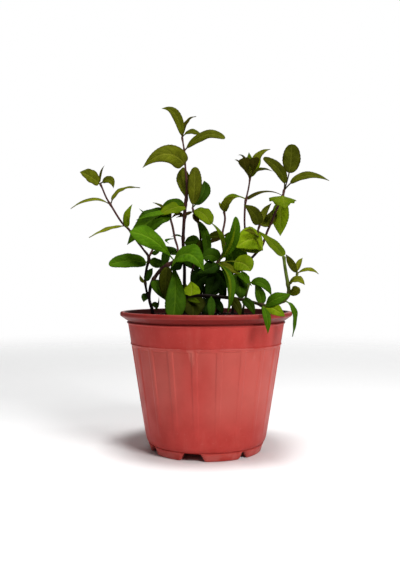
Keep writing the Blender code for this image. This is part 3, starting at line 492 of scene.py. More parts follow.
        9.5, "broad", "shaded", 0.05, 0.04),
    "middle_leaf_low_far": ((9.5, -9, 136.5), (14, -9, 127), (14.5, -7.5, 119.5),
        9, "ovate", "shaded", 0.12, 0.04),
    "left_leaf_stub": ((-44.5, -6, 112), (-43, -6, 109.5), (-40.5, -6, 105),
        1.4, "slender", "shaded", 0.0, 0.3, 10, RAISED),
    "left_leaf_stub_right": ((-42, -7, 112), (-35.5, -6, 100), (-35.5, -6, 116),
        1.8, "slender", "shaded", 0.0, 0.3, 10, RAISED),
}


class Finish(NamedTuple):
    """A kind of leaf: the colours of its upper face, its deeper tone, veins, margin and underside; how many
    pairs of side veins it has; its roughness, and how much light it lets through."""

    upper: tuple
    deeper: tuple
    vein: tuple
    margin: tuple
    underside: tuple
    pairs: int
    roughness: float
    glow: float


LEAF_FINISHES = {
    "young": Finish(
        (0.135, 0.160, 0.006), (0.085, 0.100, 0.004), (0.21, 0.23, 0.02), (0.050, 0.040, 0.003),
        (0.180, 0.195, 0.018), 6, 0.62, 0.22,
    ),
    "bronze": Finish(
        (0.075, 0.066, 0.004), (0.050, 0.052, 0.003), (0.12, 0.11, 0.012), (0.022, 0.014, 0.003),
        (0.085, 0.075, 0.006), 6, 0.60, 0.15,
    ),
    "mature": Finish(
        (0.088, 0.215, 0.004), (0.055, 0.145, 0.003), (0.16, 0.30, 0.015), (0.038, 0.095, 0.002),
        (0.140, 0.220, 0.012), 7, 0.58, 0.24,
    ),
    # A darker copy of the mature finish: painted shade for leaves that lie in the plant's shade.
    "shaded": Finish(
        (0.036, 0.100, 0.003), (0.022, 0.062, 0.002), (0.070, 0.150, 0.008), (0.016, 0.042, 0.002),
        (0.060, 0.100, 0.006), 6, 0.62, 0.15,
    ),
    "lime": Finish(
        (0.230, 0.340, 0.005), (0.150, 0.250, 0.004), (0.32, 0.40, 0.03), (0.11, 0.16, 0.003),
        (0.250, 0.330, 0.015), 6, 0.58, 0.32,
    ),
    "dying": Finish(
        (0.085, 0.062, 0.005), (0.045, 0.028, 0.003), (0.13, 0.08, 0.015), (0.028, 0.014, 0.003),
        (0.095, 0.068, 0.008), 6, 0.65, 0.12,
    ),
}
# Kinds of leaf whose stalks are purple.
RED_STALKS = ("young", "bronze", "dying")

# Colours of the finishes, as light reflected.
POT_RED = (0.50, 0.052, 0.043)
POT_RED_DEEP = (0.42, 0.038, 0.030)
POT_DUST = (0.57, 0.15, 0.120)
# The dark red of the painted shade under the lip.
POT_RIM_SHADE = (0.15, 0.012, 0.010)
# The pale colour of rubbed plastic, which also paints a highlight along the lip's top.
POT_RUB_AND_HIGHLIGHT = (0.66, 0.22, 0.19)
# Near black for the pot's inner wall: soil stain and painted shade.
STAIN_AND_SHADE_INSIDE = (0.006, 0.003, 0.003)
SOIL_BROWN = (0.012, 0.008, 0.006)
SOIL_BLACK = (0.004, 0.003, 0.002)
SOIL_FIBRE = (0.040, 0.024, 0.014)
GRIT_PALE = (0.62, 0.60, 0.56)
GRIT_GREY = (0.36, 0.34, 0.31)
STEM_WOOD = (0.008, 0.004, 0.004)
STEM_PURPLE = (0.078, 0.027, 0.026)
STEM_YOUNG = (0.110, 0.048, 0.042)
STEM_DARK = (0.004, 0.002, 0.002)
STEM_JOINT = (0.085, 0.040, 0.022)
STEM_GREEN_LOW = (0.040, 0.040, 0.010)
STEM_GREEN = (0.135, 0.195, 0.025)
STALK_PURPLE = (0.040, 0.016, 0.014)
FLOOR_GREY = (0.90, 0.90, 0.90)
FLOOR_WHITE = (0.93, 0.93, 0.93)
# What a leaf's colour is multiplied by: seen with the light behind it, and at tone 0 and tone 1. A low
# tone darkens a leaf deep in the plant as painted shade.
LEAF_GLOW = (1.35, 1.35, 0.9)
TONE_LOW = (0.20, 0.21, 0.18)
TONE_HIGH = (1.45, 1.40, 1.40)
# Specular levels.
POT_GLOSS = 0.12
SOIL_GLOSS = 0.1
GRIT_GLOSS = 0.5
STEM_GLOSS = 0.05
LEAF_GLOSS = 0.02

# Studio, in metres: the floor fades out between two distances from its middle. Each light has its place, its
# aim, the length of its sides and its power.
STUDIO_FLOOR = 3.0
FLOOR_SINK = 0.0002
FLOOR_FADE = (0.25, 1.2)
AMBIENT = 0.13
STUDIO_LIGHTS = {
    "front_light": ((0.62, -0.90, 0.85), (0, 0, 0.12), 0.4, 11.5),
    "top_light": ((0.05, -0.15, 1.3), (0, 0, 0.1), 0.35, 12.5),
    "left_fill": ((-1.2, -0.5, 0.5), (0, 0, 0.12), 0.8, 0.2),
    "back_light": ((0.2, 1.2, 0.7), (0, 0, 0.15), 0.9, 3.0),
}

# Camera, in millimetres from the pot's axis: it looks level towards +Y.
EYE = (-4.6, -515.0, 126.3)
SENSOR = 36.0
LENS = 42.7
SHIFT_UP = -0.006


class Tree:
    """A node tree being wired: it puts nodes down and joins their sockets."""

    def __init__(self, tree):
        self.tree = tree

    def put(self, kind, settings=None, **sockets):
        node = self.tree.nodes.new(kind)
        for name, value in (settings or {}).items():
            setattr(node, name, value)
        for name, value in sockets.items():
            self.feed(node.inputs[name.replace("_", " ")], value)
        return node

    def feed(self, socket, value):
        if isinstance(value, bpy.types.NodeSocket):
            self.tree.links.new(value, socket)
        else:
            socket.default_value = value

    def feed_all(self, sockets, values):
        for socket, value in zip(sockets, values):
            self.feed(socket, value)

    def math(self, operation, *values, clamp=False):
        node = self.put("ShaderNodeMath", {"operation": operation, "use_clamp": clamp})
        self.feed_all(node.inputs, values)
        return node.outputs[0]

    def times(self, value, *others):
        for other in others:
            value = self.math("MULTIPLY", value, other)
        return value

    def plus(self, one, other, clamp=False):
        return self.math("ADD", one, other, clamp=clamp)

    def minus(self, one, other):
        return self.math("SUBTRACT", one, other)

    def fade(self, value, low, high):
        """0 where value is at low or before it, 1 at high, smooth between."""
        node = self.put("ShaderNodeMapRange", {"interpolation_type": "SMOOTHSTEP"})
        self.feed_all([node.inputs[name] for name in ("Value", "From Min", "From Max")], (value, low, high))
        return node.outputs[0]

    def mix(self, share, low, high, blend="MIX"):
        node = self.put("ShaderNodeMix", {"data_type": "RGBA", "blend_type": blend, "clamp_factor": True})
        self.feed_all((node.inputs[0], node.inputs[6], node.inputs[7]), map(opaque, (share, low, high)))
        return node.outputs[2]

    def noise(self, place, scale, detail=3.0, roughness=0.55):
        node = self.put("ShaderNodeTexNoise", Vector=place, Scale=scale, Detail=detail, Roughness=roughness)
        return node.outputs["Fac"]

    def stretched(self, place, x, y, z):
        node = self.put("ShaderNodeVectorMath", {"operation": "MULTIPLY"})
        self.feed_all(node.inputs, (place, (x, y, z)))
        return node.outputs[0]

    def effect(self, group, **sockets):
        node = self.put("ShaderNodeGroup", {"node_tree": group})
        for name, value in sockets.items():
            self.feed(node.inputs[name.replace("_", " ")], opaque(value))
        return node.outputs

    def place(self):
        return self.put("ShaderNodeTexCoord").outputs["Object"]

    def attribute(self, name):
        return self.put("ShaderNodeAttribute", {"attribute_name": name}).outputs["Fac"]

    def bump(self, height, strength, depth):
        return self.put("ShaderNodeBump", Strength=strength, Distance=depth, Height=height).outputs["Normal"]

    def skin(self, colour, roughness, normal, gloss):
        """A shader for this surface. Its gloss is the same all over."""
        shader = self.put("ShaderNodeBsdfPrincipled", Base_Color=colour, Roughness=roughness, Normal=normal)
        shader.inputs["Specular IOR Level"].default_value = gloss
        return shader

    def blend(self, share, first, second):
        """Two shaders in one."""
        node = self.put("ShaderNodeMixShader")
        self.feed_all(node.inputs, (share, first.outputs[0], second.outputs[0]))
        return node.outputs[0]


def opaque(value):
    """A colour of three numbers with the fourth that its socket takes; anything else as it is."""
    return (*value, 1.0) if isinstance(value, tuple) and len(value) == 3 else value


def effect_group(name, inputs, outputs):
    """An empty shader node group with these sockets: (tree, its inputs, its output node)."""
    group = bpy.data.node_groups.new(name, "ShaderNodeTree")
    for way, sockets in (("INPUT", inputs), ("OUTPUT", outputs)):
        for label, kind in sockets.items():
            group.interface.new_socket(name=label, in_out=way, socket_type="NodeSocket" + kind)
    tree = Tree(group)
    return tree, tree.put("NodeGroupInput").outputs, tree.put("NodeGroupOutput").inputs


def make_mottling():
    """Two tones of a finish, in soft patches with smaller ones inside them."""
    tree, given, out = effect_group(
        "mottling", {"Place": "Vector", "Tone": "Color", "Other Tone": "Color", "Scale": "Float"},
        {"Color": "Color", "Mask": "Float"},
    )
    broad = tree.noise(given["Place"], given["Scale"], 2.0)
    small = tree.noise(given["Place"], tree.times(given["Scale"], 4.3), 4.0, 0.6)
    mask = tree.fade(tree.plus(tree.times(broad, 0.65), tree.times(small, 0.35)), 0.36, 0.64)
    tree.feed(out["Mask"], mask)
    tree.feed(out["Color"], tree.mix(mask, given["Tone"], given["Other Tone"]))
    return tree.tree


def make_fine_grain():
    """The fine unevenness of a surface: a height, and the same as a small change of roughness."""
    tree, given, out = effect_group(
        "fine_grain", {"Place": "Vector", "Scale": "Float", "Roughness": "Float", "Spread": "Float"},
        {"Height": "Float", "Roughness": "Float"},
    )
    tree.feed(out["Height"], tree.noise(given["Place"], given["Scale"], 5.0, 0.62))
    broad = tree.noise(given["Place"], tree.math("DIVIDE", given["Scale"], 14.0), 2.0)
    change = tree.times(tree.minus(broad, 0.5), given["Spread"])
    tree.feed(out["Roughness"], tree.plus(given["Roughness"], change, clamp=True))
    return tree.tree


def make_leaf_veins():
    """The midrib, the side veins and the fine net between them, from a leaf's own two directions."""
    tree, given, out = effect_group(
        "leaf_veins", {"Leaf": "Vector", "Place": "Vector", "Pairs": "Float", "Sweep": "Float"},
        {"Midrib": "Float", "Side Veins": "Float", "Net": "Float", "Margin": "Float", "Height": "Float"},
    )
    parts = tree.put("ShaderNodeSeparateXYZ", Vector=given["Leaf"]).outputs
    across = tree.math("ABSOLUTE", tree.minus(tree.times(parts["Y"], 2.0), 1.0))
    midrib = tree.minus(1.0, tree.fade(across, 0.035, 0.11))
    swept = tree.times(tree.math("POWER", across, VEIN_CURVE), given["Sweep"])
    rank = tree.times(tree.minus(parts["X"], swept), given["Pairs"])
    beside = tree.math("PINGPONG", rank, 0.5)
    thin = tree.minus(0.11, tree.times(across, 0.07))
    veins = tree.minus(1.0, tree.fade(tree.math("DIVIDE", beside, thin), 0.25, 1.0))
    cells = tree.put(
        "ShaderNodeTexVoronoi", {"feature": "DISTANCE_TO_EDGE"}, Vector=given["Place"], Scale=850.0
    )
    net = tree.minus(1.0, tree.fade(cells.outputs["Distance"], 0.02, 0.16))
    dips = tree.plus(tree.times(veins, 0.8), tree.times(net, 0.22))
    height = tree.minus(1.0, tree.math("MAXIMUM", dips, midrib))
    tree.feed_all(
        [out[name] for name in ("Midrib", "Side Veins", "Net", "Margin", "Height")],
        (midrib, veins, net, tree.fade(across, 0.72, 1.0), height),
    )
    return tree.tree


def new_material(name):
    """A material with nothing wired but its output: (material, tree, its surface socket)."""
    material = bpy.data.materials.new(name)
    material.use_nodes = True
    material.node_tree.nodes.clear()
    tree = Tree(material.node_tree)
    return material, tree, tree.put("ShaderNodeOutputMaterial").inputs["Surface"]


def make_pot_plastic(mottling, grain):
    """Faded red-brown moulded plastic: dusty streaks, rubbed edges with a painted highlight on the lip's
    top, painted shade under the lip, and soil stain with painted shade inside it.
    """
    material, tree, surface = new_material("pot_plastic")
    place = tree.place()
    colour = tree.effect(mottling, Place=place, Tone=POT_RED, Other_Tone=POT_RED_DEEP, Scale=26.0)["Color"]
    patches = tree.fade(tree.noise(tree.stretched(place, 1.0, 1.0, 0.4), 30.0, 2.0), 0.25, 0.65)
    faded = tree.times(tree.attribute("fading"), patches, 0.45)
    streaks = tree.fade(tree.noise(tree.stretched(place, 1.0, 1.0, 0.12), 150.0, 4.0, 0.65), 0.47, 0.72)
    specks = tree.fade(tree.noise(place, 620.0, 2.0), 0.63, 0.74)
    dusty = tree.plus(tree.times(streaks, tree.attribute("dust")), tree.times(specks, 0.18), clamp=True)
    colour = tree.mix(tree.math("MAXIMUM", dusty, faded), colour, POT_DUST)
    # Rubbing on the bead and the foot, and a painted highlight along the lip's top.
    pale_patches = tree.fade(tree.noise(place, 95.0, 4.0), 0.35, 0.6)
    colour = tree.mix(tree.times(tree.attribute("wear_and_lip_highlight"), pale_patches, 0.6), colour, POT_RUB_AND_HIGHLIGHT)
    # Painted shade under the lip and on its outer face.
    colour = tree.mix(tree.attribute("rim_shade"), colour, POT_RIM_SHADE)
    # The inner wall above the soil: soil stain with painted shade, nearly black.
    inner_stain_and_shade = tree.plus(tree.attribute("soil_stain_and_shade"), tree.times(tree.noise(place, 180.0, 4.0), 0.3))
    colour = tree.mix(tree.times(tree.fade(inner_stain_and_shade, 0.35, 0.75), 0.93), colour, STAIN_AND_SHADE_INSIDE)
    satin = tree.effect(grain, Place=place, Scale=1500.0, Roughness=0.40, Spread=0.35)
    rough = tree.plus(satin["Roughness"], tree.times(dusty, 0.25), clamp=True)
    shader = tree.skin(colour, rough, tree.bump(satin["Height"], 0.10, 0.0002), POT_GLOSS)
    shader.inputs["Subsurface Weight"].default_value = 0.04
    shader.inputs["Subsurface Radius"].default_value = (0.003, 0.0008, 0.0006)
    tree.feed(surface, shader.outputs["BSDF"])
    return material


def make_potting_soil(mottling, grain):
    """Damp dark soil with paler fibres in it."""
    material, tree, surface = new_material("potting_soil")
    place = tree.place()
    colour = tree.effect(mottling, Place=place, Tone=SOIL_BROWN, Other_Tone=SOIL_BLACK, Scale=90.0)["Color"]
    fibres = tree.noise(tree.stretched(place, 1.0, 0.25, 0.6), 700.0, 3.0)
    colour = tree.mix(tree.fade(fibres, 0.6, 0.75), colour, SOIL_FIBRE)
    lumps = tree.effect(grain, Place=place, Scale=900.0, Roughness=0.86, Spread=0.3)
    shader = tree.skin(colour, lumps["Roughness"], tree.bump(lumps["Height"], 0.8, 0.0006), SOIL_GLOSS)
    tree.feed(surface, shader.outputs["BSDF"])
    return material


def make_grit(mottling, grain):
    """The pale grit that lies in potting soil."""
    material, tree, surface = new_material("soil_grit")
    place = tree.place()
    colour = tree.effect(mottling, Place=place, Tone=GRIT_PALE, Other_Tone=GRIT_GREY, Scale=700.0)["Color"]
    lumps = tree.effect(grain, Place=place, Scale=2200.0, Roughness=0.8, Spread=0.2)
    shader = tree.skin(colour, lumps["Roughness"], tree.bump(lumps["Height"], 0.5, 0.0003), GRIT_GLOSS)
    tree.feed(surface, shader.outputs["BSDF"])
    return material


def make_stem_skin(name, low, middle, high, mottling, grain):
    """A stem's skin, from its woody foot over its middle to its young end, with fine dark lines along it."""
    material, tree, surface = new_material(name)
    place = tree.place()
    along = tree.attribute("along")
    lower = tree.mix(tree.fade(along, 0.25, 0.8), low, middle)
    colour = tree.mix(tree.fade(along, 0.6, 1.05), lower, high)
    lines = tree.noise(tree.stretched(place, 1.0, 1.0, 0.1), 1300.0, 3.0)
    colour = tree.mix(tree.times(tree.fade(lines, 0.45, 0.7), 0.35), colour, STEM_DARK)
    tones = tree.effect(mottling, Place=place, Tone=colour, Other_Tone=STEM_DARK, Scale=160.0)
    colour = tree.mix(0.3, colour, tones["Color"])
    colour = tree.mix(tree.times(tree.attribute("node"), 0.35), colour, STEM_JOINT)
    bark = tree.effect(grain, Place=place, Scale=2600.0, Roughness=0.5, Spread=0.25)
    shader = tree.skin(colour, bark["Roughness"], tree.bump(lines, 0.25, 0.0002), STEM_GLOSS)
    tree.feed(surface, shader.outputs["BSDF"])
    return material


def make_leaf_face(kind, under, mottling, grain, veins_group):
    """One face of a kind of leaf: mottled, with paler veins and a darker margin. Light comes through it."""
    upper, deeper, vein, margin, underside, pairs, roughness, glow = LEAF_FINISHES[kind]
    material, tree, surface = new_material(f"leaf_{kind}_underside" if under else f"leaf_{kind}")
    place = tree.place()
    leaf = tree.put("ShaderNodeUVMap", {"uv_map": "leaf"}).outputs["UV"]
    veins = tree.effect(veins_group, Leaf=leaf, Place=place, Pairs=float(pairs), Sweep=VEIN_SWEEP)
    first, second = (underside, upper) if under else (upper, deeper)
    colour = tree.effect(mottling, Place=place, Tone=first, Other_Tone=second, Scale=120.0)["Color"]
    if under:
        colour = tree.mix(0.55, colour, underside)
    colour = tree.mix(tree.times(veins["Net"], 0.05), colour, deeper)
    colour = tree.mix(tree.times(veins["Side Veins"], 0.45 if under else 0.34), colour, vein)
    colour = tree.mix(tree.times(veins["Midrib"], 0.75 if under else 0.55), colour, vein)
    colour = tree.mix(tree.times(veins["Margin"], 0.70 if kind == "young" else 0.45), colour, margin)
    along = tree.put("ShaderNodeSeparateXYZ", Vector=leaf).outputs["X"]
    stalk = tree.minus(1.0, tree.fade(along, -0.02, 0.06))
    colour = tree.mix(tree.times(stalk, 0.8), colour, STALK_PURPLE if kind in RED_STALKS else vein)
    # The leaf's tone: its own brightness, and painted shade on leaves deep in the plant.
    colour = tree.mix(1.0, colour, tree.mix(tree.attribute("tone"), TONE_LOW, TONE_HIGH), "MULTIPLY")
    roughness += 0.15 if under else 0.0
    skin = tree.effect(grain, Place=place, Scale=1900.0, Roughness=roughness, Spread=0.2)
    relief = tree.plus(veins["Height"], tree.times(skin["Height"], 0.25))
    bump = tree.bump(relief, 0.45, 0.0003)
    face = tree.skin(colour, skin["Roughness"], bump, LEAF_GLOSS)
    lit = tree.mix(1.0, colour, LEAF_GLOW, "MULTIPLY")
    through = tree.put("ShaderNodeBsdfTranslucent", Color=lit, Normal=bump)
    tree.feed(surface, tree.blend(glow, face, through))
    return material


def stand(name, data, place):
    """A new object in the scene, at a place in metres."""
    obj = bpy.data.objects.new(name, data)
    bpy.context.scene.collection.objects.link(obj)
    obj.location = place
    return obj


def place_piece(name, mesh, materials, stands_for=()):
    """A finished piece: it stands at the pot's axis, rides the root and takes the place of its CAD node."""
    obj = stand(name, mesh, POT_AXIS)
    for material in materials:
        mesh.materials.append(material)
    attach(obj, "root")
    if stands_for:
        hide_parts(*stands_for)
    return obj


def finished_mesh(work, name, sharp=None):
    """The mesh of a closed shape, with its faces turned outwards."""
    bmesh.ops.recalc_face_normals(work, faces=work.faces)
    if work.calc_volume(signed=True) < 0:
        bmesh.ops.reverse_faces(work, faces=work.faces)
    mesh = bpy.data.meshes.new(name)
    work.to_mesh(mesh)
    work.free()
    mesh.shade_smooth()
    if sharp:
        mesh.set_sharp_from_angle(angle=math.radians(sharp))
    return mesh


def smooth(value, low, high):
    """0 where value is at low or before it, 1 at high, smooth between. High may be the smaller one."""
    share = min(1.0, max(0.0, (value - low) / (high - low)))
    return share * share * (3 - 2 * share)


def join_rings(work, rings):
    """Faces between each closed ring of points and the next."""
    for low, high in zip(rings, rings[1:]):
        for index in range(len(low)):
            after = (index + 1) % len(low)
            work.faces.new((low[index], low[after], high[after], high[index]))


def close_ring(work, ring, z):
    """A fan of faces from a ring to its middle, at this height."""
    middle = work.verts.new((0, 0, z * MM))
    for left, right in zip(ring, ring[1:] + ring[:1]):
        work.faces.new((left, right, middle))


def wall_radius(z):
    """The pot's outer wall below its rim."""
    return RING_RADIUS + (z - RING_Z) * WALL_SLOPE


def inner_radius(z):
    """The pot's wall on its inner side."""
    return wall_radius(z) - WALL


def filleted(corners, steps=4):
    """A line through (radius, height, fillet) corners with each corner rounded to its fillet."""
    line = []
    for index, (r, z, fillet) in enumerate(corners):
        corner = Vector((r, z))
        if not fillet or index in (0, len(corners) - 1):
            line.append(corner)
            continue
        before = Vector(corners[index - 1][:2]) - corner
        after = Vector(corners[index + 1][:2]) - corner
        reach = min(fillet, before.length * 0.49, after.length * 0.49)
        start, end = corner + before.normalized() * reach, corner + after.normalized() * reach
        for step in range(steps + 1):
            share = step / steps
            line.append(start.lerp(corner, share).lerp(corner.lerp(end, share), share))
    return line


def evenly(low, high, count):
    """Numbers from low to high, in equal steps."""
    return [low + (high - low) * step / count for step in range(count + 1)]


def pot_profile():
    """From the floor's middle up the inside, over the lip, down the outer wall and in under the floor."""
    top, rim = POT_TOP, RIM_RADIUS
    inside = [(FLOOR_RADIUS, FLOOR_TOP, 1.5), (inner_radius(CORNER_Z), CORNER_Z, 1.5)]
    inside += [(inner_radius(z), z, 0) for z in evenly(20, 90, 7)]
    lip = [
        (inner_radius(97), 97.0, 2.0), (rim - 3.6, 100.2, 0.8), (rim - 3.1, top, 0.8),
        (rim, top, 1.3), (rim, 100.9, 0.9), (rim - 1.6, 99.9, 0.3),
    ]
    collar = [
        (60.0, 97.5, 0.5), (59.2, 97.2, 0.2), (59.2, 96.6, 0.1), (59.9, 96.3, 0.3), (59.8, 95.3, 0.3),
        (wall_radius(94.8), 94.8, 0.2),
    ]
    band = [(wall_radius(z), z, 0) for z in (93, 90, 87, 84, 82)]
    bead = [
        (wall_radius(80.6), 80.6, 0.2), (wall_radius(80.1) + 0.45, 80.1, 0.3),
        (wall_radius(79.4) + 0.45, 79.4, 0.3), (wall_radius(78.9) + 0.05, 78.9, 0.2),
    ]
    panels = [(wall_radius(z), z, 0) for z in (78.5, 78.2, 78.0, 77.8, 77.6, 77.3, 76.6, 75)]
    panels += [(wall_radius(z), z, 0) for z in evenly(72, 16, 14)]
    heel = [(46.0, 13.4, 1.5), (45.5, 10.0, 2.0), (44.5, 7.4, 1.2), (43.4, 6.2, 0.3), (42.9, 5.9, 0.1)]
    floor = [(0, FLOOR_TOP, 0), (20, FLOOR_TOP, 0)]
    return filleted(floor + inside + lip + collar + band + bead + panels + heel)


def panel_depth(turn_degrees, z):
    """How far the wall lies back in a panel: nothing on a rib, fading towards the foot."""
    off_rib = turn_degrees % (360 / PANELS)
    off_rib = min(off_rib, 360 / PANELS - off_rib)
    beside = smooth(off_rib, RIB_HALF - RIB_SHOULDER, RIB_HALF + RIB_SHOULDER)
    below = smooth(z, PANEL_TOP + 0.2, PANEL_TOP - 0.3)
    fade = PANEL_FOOT_DEPTH + (PANEL_DEPTH - PANEL_FOOT_DEPTH) * smooth(z, PANEL_FOOT, PANEL_TOP * 0.9)
    return beside * below * fade * smooth(z, PANEL_FOOT - 2, PANEL_FOOT + 3)


def foot_rise(turn_degrees):
    """How high the foot ring's lower edge is: 0 under a foot, the gap's top between two feet."""
    rise = 0.0
    for middle, width in FOOT_GAPS:
        away = abs((turn_degrees - middle + 180) % 360 - 180)
        rise = max(rise, smooth(away, width / 2 + 1.0, width / 2 - FOOT_SLANT))
    return rise * FOOT_GAP_TOP


def pot_marks(r, z, inside, outside):
    """At a point, each from 0 to 1: rubbing with a painted highlight on the lip's top, dust, soil stain
    with painted shade inside, painted shade round the rim, and fading.
    """
    # The lip's pale top is a painted highlight as well as rubbing.
    lip = smooth(z, *LIP_RUB_AND_HIGHLIGHT) * smooth(r, RIM_RADIUS - 3.5, RIM_RADIUS - 1)
    bead = max(0.0, 1 - abs(z - BEAD_Z) / 0.6) if r > inner_radius(z) + 1 else 0.0
    wear_and_lip_highlight = max(lip * 0.4, bead * 0.6, smooth(z, *FOOT_RUBBED) * 0.5)
    dust = smooth(z, *DUST_STARTS) * smooth(z, *DUST_ENDS) * 0.55 + 0.10
    # Soil stain and painted shade on the inner wall.
    soil_stain_and_shade = smooth(z, *STAIN_AND_SHADE_LINE) if inside else 0.0
    # Painted shade: strong in the band under the lip, weaker on the lip's outer face.
    collar = smooth(z, *RIM_SHADE_STARTS) * smooth(z, *RIM_SHADE_ENDS)
    rim_shade = max(0.9 * collar, 0.62 * smooth(z, *RIM_SHADE_ENDS[::-1])) if outside else 0.0
    return wear_and_lip_highlight, dust, soil_stain_and_shade, rim_shade, smooth(z, *FADING_STARTS) * smooth(z, *FADING_ENDS)


def make_pot(material):
    """The pot in one closed body: profile, panels, foot ring and drain holes."""
    profile = pot_profile()
    crest = max(range(1, len(profile)), key=lambda row: profile[row].y) - 1
    heel_z = profile[-1].y
    wall = [(point.x, point.y) for point in profile[1:]]
    pitch = 360 / PANELS
    turns = [panel * pitch - pitch / 2 + column for panel in range(PANELS) for column in PANEL_COLUMNS]
    work = bmesh.new()
    layers = [work.verts.layers.float.new(name) for name in POT_MARKS]
    grid = []
    for degrees in turns:
        turn = math.radians(degrees - 90)
        rise = foot_rise(degrees)
        foot = [(r, heel_z - down * (heel_z - rise) if down else FOOT_Z) for down, r in FOOT_RING]
        column = []
        for number, (r, z) in enumerate([*wall, *foot, *UNDERSIDE]):
            if number < len(wall) and r > inner_radius(z) + WALL * 0.5 and z < RING_Z + 0.2:
                r -= panel_depth(degrees + pitch / 2, z)
            vert = work.verts.new((r * math.cos(turn) * MM, r * math.sin(turn) * MM, z * MM))
            for layer, mark in zip(layers, pot_marks(r, z, number < crest, crest <= number < len(wall))):
                vert[layer] = mark
            column.append(vert)
        grid.append(column)
    for left, right in zip(grid, grid[1:] + grid[:1]):
        for low in range(len(left) - 1):
            work.faces.new((left[low], right[low], right[low + 1], left[low + 1]))
    close_ring(work, [column[0] for column in grid], FLOOR_TOP)
    close_ring(work, [column[-1] for column in grid], FOOT_Z)
    mesh = finished_mesh(work, "moulded_pot", POT_CREASE)
    cut_drain_holes(place_piece("moulded_pot", mesh, [material], ["pot"]))


def cut_drain_holes(pot):
    """A hole in the middle of the floor and a circle of six, cut for good."""
    work = bmesh.new()
    turns = [math.radians(DRAIN_TURN) + math.tau * index / DRAIN_HOLES for index in range(DRAIN_HOLES)]
    holes = [(0.0, 0.0)] + [(DRAIN_CIRCLE * math.cos(turn), DRAIN_CIRCLE * math.sin(turn)) for turn in turns]
    for x, y in holes:
        middle = Matrix.Translation((x * MM, y * MM, (FOOT_Z + FLOOR_TOP) / 2 * MM))
        bmesh.ops.create_cone(
            work, cap_ends=True, segments=32, radius1=DRAIN_RADIUS * MM, radius2=DRAIN_RADIUS * MM,
            depth=8 * MM, matrix=middle,
        )
    cutter = stand("drain_cutter", finished_mesh(work, "drain_cutter"), POT_AXIS)
    boolean = pot.modifiers.new("Drain holes", "BOOLEAN")
    boolean.operation = "DIFFERENCE"
    boolean.solver = "EXACT"
    boolean.object = cutter
    bpy.context.view_layer.update()
    evaluated = pot.evaluated_get(bpy.context.evaluated_depsgraph_get())
    cut_mesh = bpy.data.meshes.new_from_object(evaluated)
    pot.modifiers.clear()
    pot.data = cut_mesh
    bpy.data.objects.remove(cutter)


def soil_height(x, y):
    """The soil's top: a low mound with lumps and small hollows."""
    reach = math.hypot(x, y) / inner_radius(SOIL_EDGE_Z)
    mound = SOIL_EDGE_Z + SOIL_MOUND * max(0.0, 1 - reach * reach)
    return mound + sum(size * noise.noise((x * fine, y * fine, at)) for size, fine, at in SOIL_LUMPS)


def soil_ring(work, r, z=None):
    """A closed ring of points round the pot's axis, at this height or on the soil's top."""
    turns = [math.tau * step / SOIL_STEPS for step in range(SOIL_STEPS)]
    spots = [(r * math.cos(turn), r * math.sin(turn)) for turn in turns]
    return [work.verts.new((x * MM, y * MM, (z or soil_height(x, y)) * MM)) for x, y in spots]


def make_soil(material, grit):
    """The soil: its rough top, its sides just inside the pot's wall, its bottom, and what lies on it."""
    work = bmesh.new()
    edge = inner_radius(SOIL_EDGE_Z) - SOIL_GAP
    rings = [soil_ring(work, edge * ring / SOIL_RINGS) for ring in range(1, SOIL_RINGS + 1)]
    sides = [(inner_radius(z) - SOIL_GAP, z) for z in (92.0, 70.0, 45.0, 20.0, CORNER_Z + 0.2)]
    rings += [soil_ring(work, r, z) for r, z in [*sides, (FLOOR_RADIUS - 0.3, FLOOR_TOP + 0.3)]]
    join_rings(work, rings)
    close_ring(work, rings[0], soil_height(0, 0))
    close_ring(work, rings[-1], FLOOR_TOP + 0.3)
    place_piece("soil_body", finished_mesh(work, "soil_body"), [material], ["soil"])
    draws = random.Random("crumbs")
    scatter(*CRUMBS, material, draws)
    scatter(*GRIT, grit, draws)


def scatter(name, count, least, most, material, draws):
    """Small rough lumps, half sunk in the soil."""
    work = bmesh.new()
    edge = inner_radius(SOIL_EDGE_Z) - CRUMB_EDGE
    for _ in range(count):
        r, turn = edge * math.sqrt(draws.random()), math.tau * draws.random()
        size = least + (most - least) * draws.random() ** 2.5
        x, y = r * math.cos(turn), r * math.sin(turn)
        spin = Matrix.Rotation(draws.random() * math.tau, 4, (draws.random(), draws.random(), 1))
        squash = Matrix.Diagonal((1.0, 0.6 + 0.4 * draws.random(), 0.5 + 0.4 * draws.random(), 1.0))
        fineness = 2 if size > CRUMB_FINE else 1
        lump = bmesh.ops.create_icosphere(
            work, subdivisions=fineness, radius=size * MM, matrix=spin @ squash
        )["verts"]
        shift = draws.random() * 50
        for vert in lump:
            push = 1 + CRUMB_ROUGH * noise.noise(vert.co / (size * MM) * 1.4 + Vector((shift, 0, 0)))
            vert.co = vert.co * push + Vector((x, y, soil_height(x, y) + size * 0.15)) * MM
    place_piece(name, finished_mesh(work, name), [material])


def smooth_route(points):
    """A smooth line through a stem's points: a list of (place, half width), about STEM_STEP apart."""
    places = [Vector(point[:3]) for point in points]
    ends = [places[0] * 2 - places[1]] + places + [places[-1] * 2 - places[-2]]
    route = []
    for index, (point, after) in enumerate(zip(points, points[1:])):
        before, here, there, beyond = ends[index:index + 4]
        count = max(2, round((there - here).length / STEM_STEP))
        bends = (there - before) / 6, (beyond - here) / 6
        spots = interpolate_bezier(here, here + bends[0], there - bends[1], there, count + 1)
        for step, spot in enumerate(spots[:-1]):
            route.append((Vector(spot), point[3] + (after[3] - point[3]) * step / count))
    return route + [(places[-1], points[-1][3])]


def stem_routes():
    """Each stem's routes: its own, then its branch's."""
    routes = {name: [smooth_route(points)] for name, points in STEMS.items()}
    for name, (start, points) in BRANCHES.items():
        foot = (*STEMS[name][start][:3], points[0][3])
        routes[name].append(smooth_route([foot, *points]))
    return routes


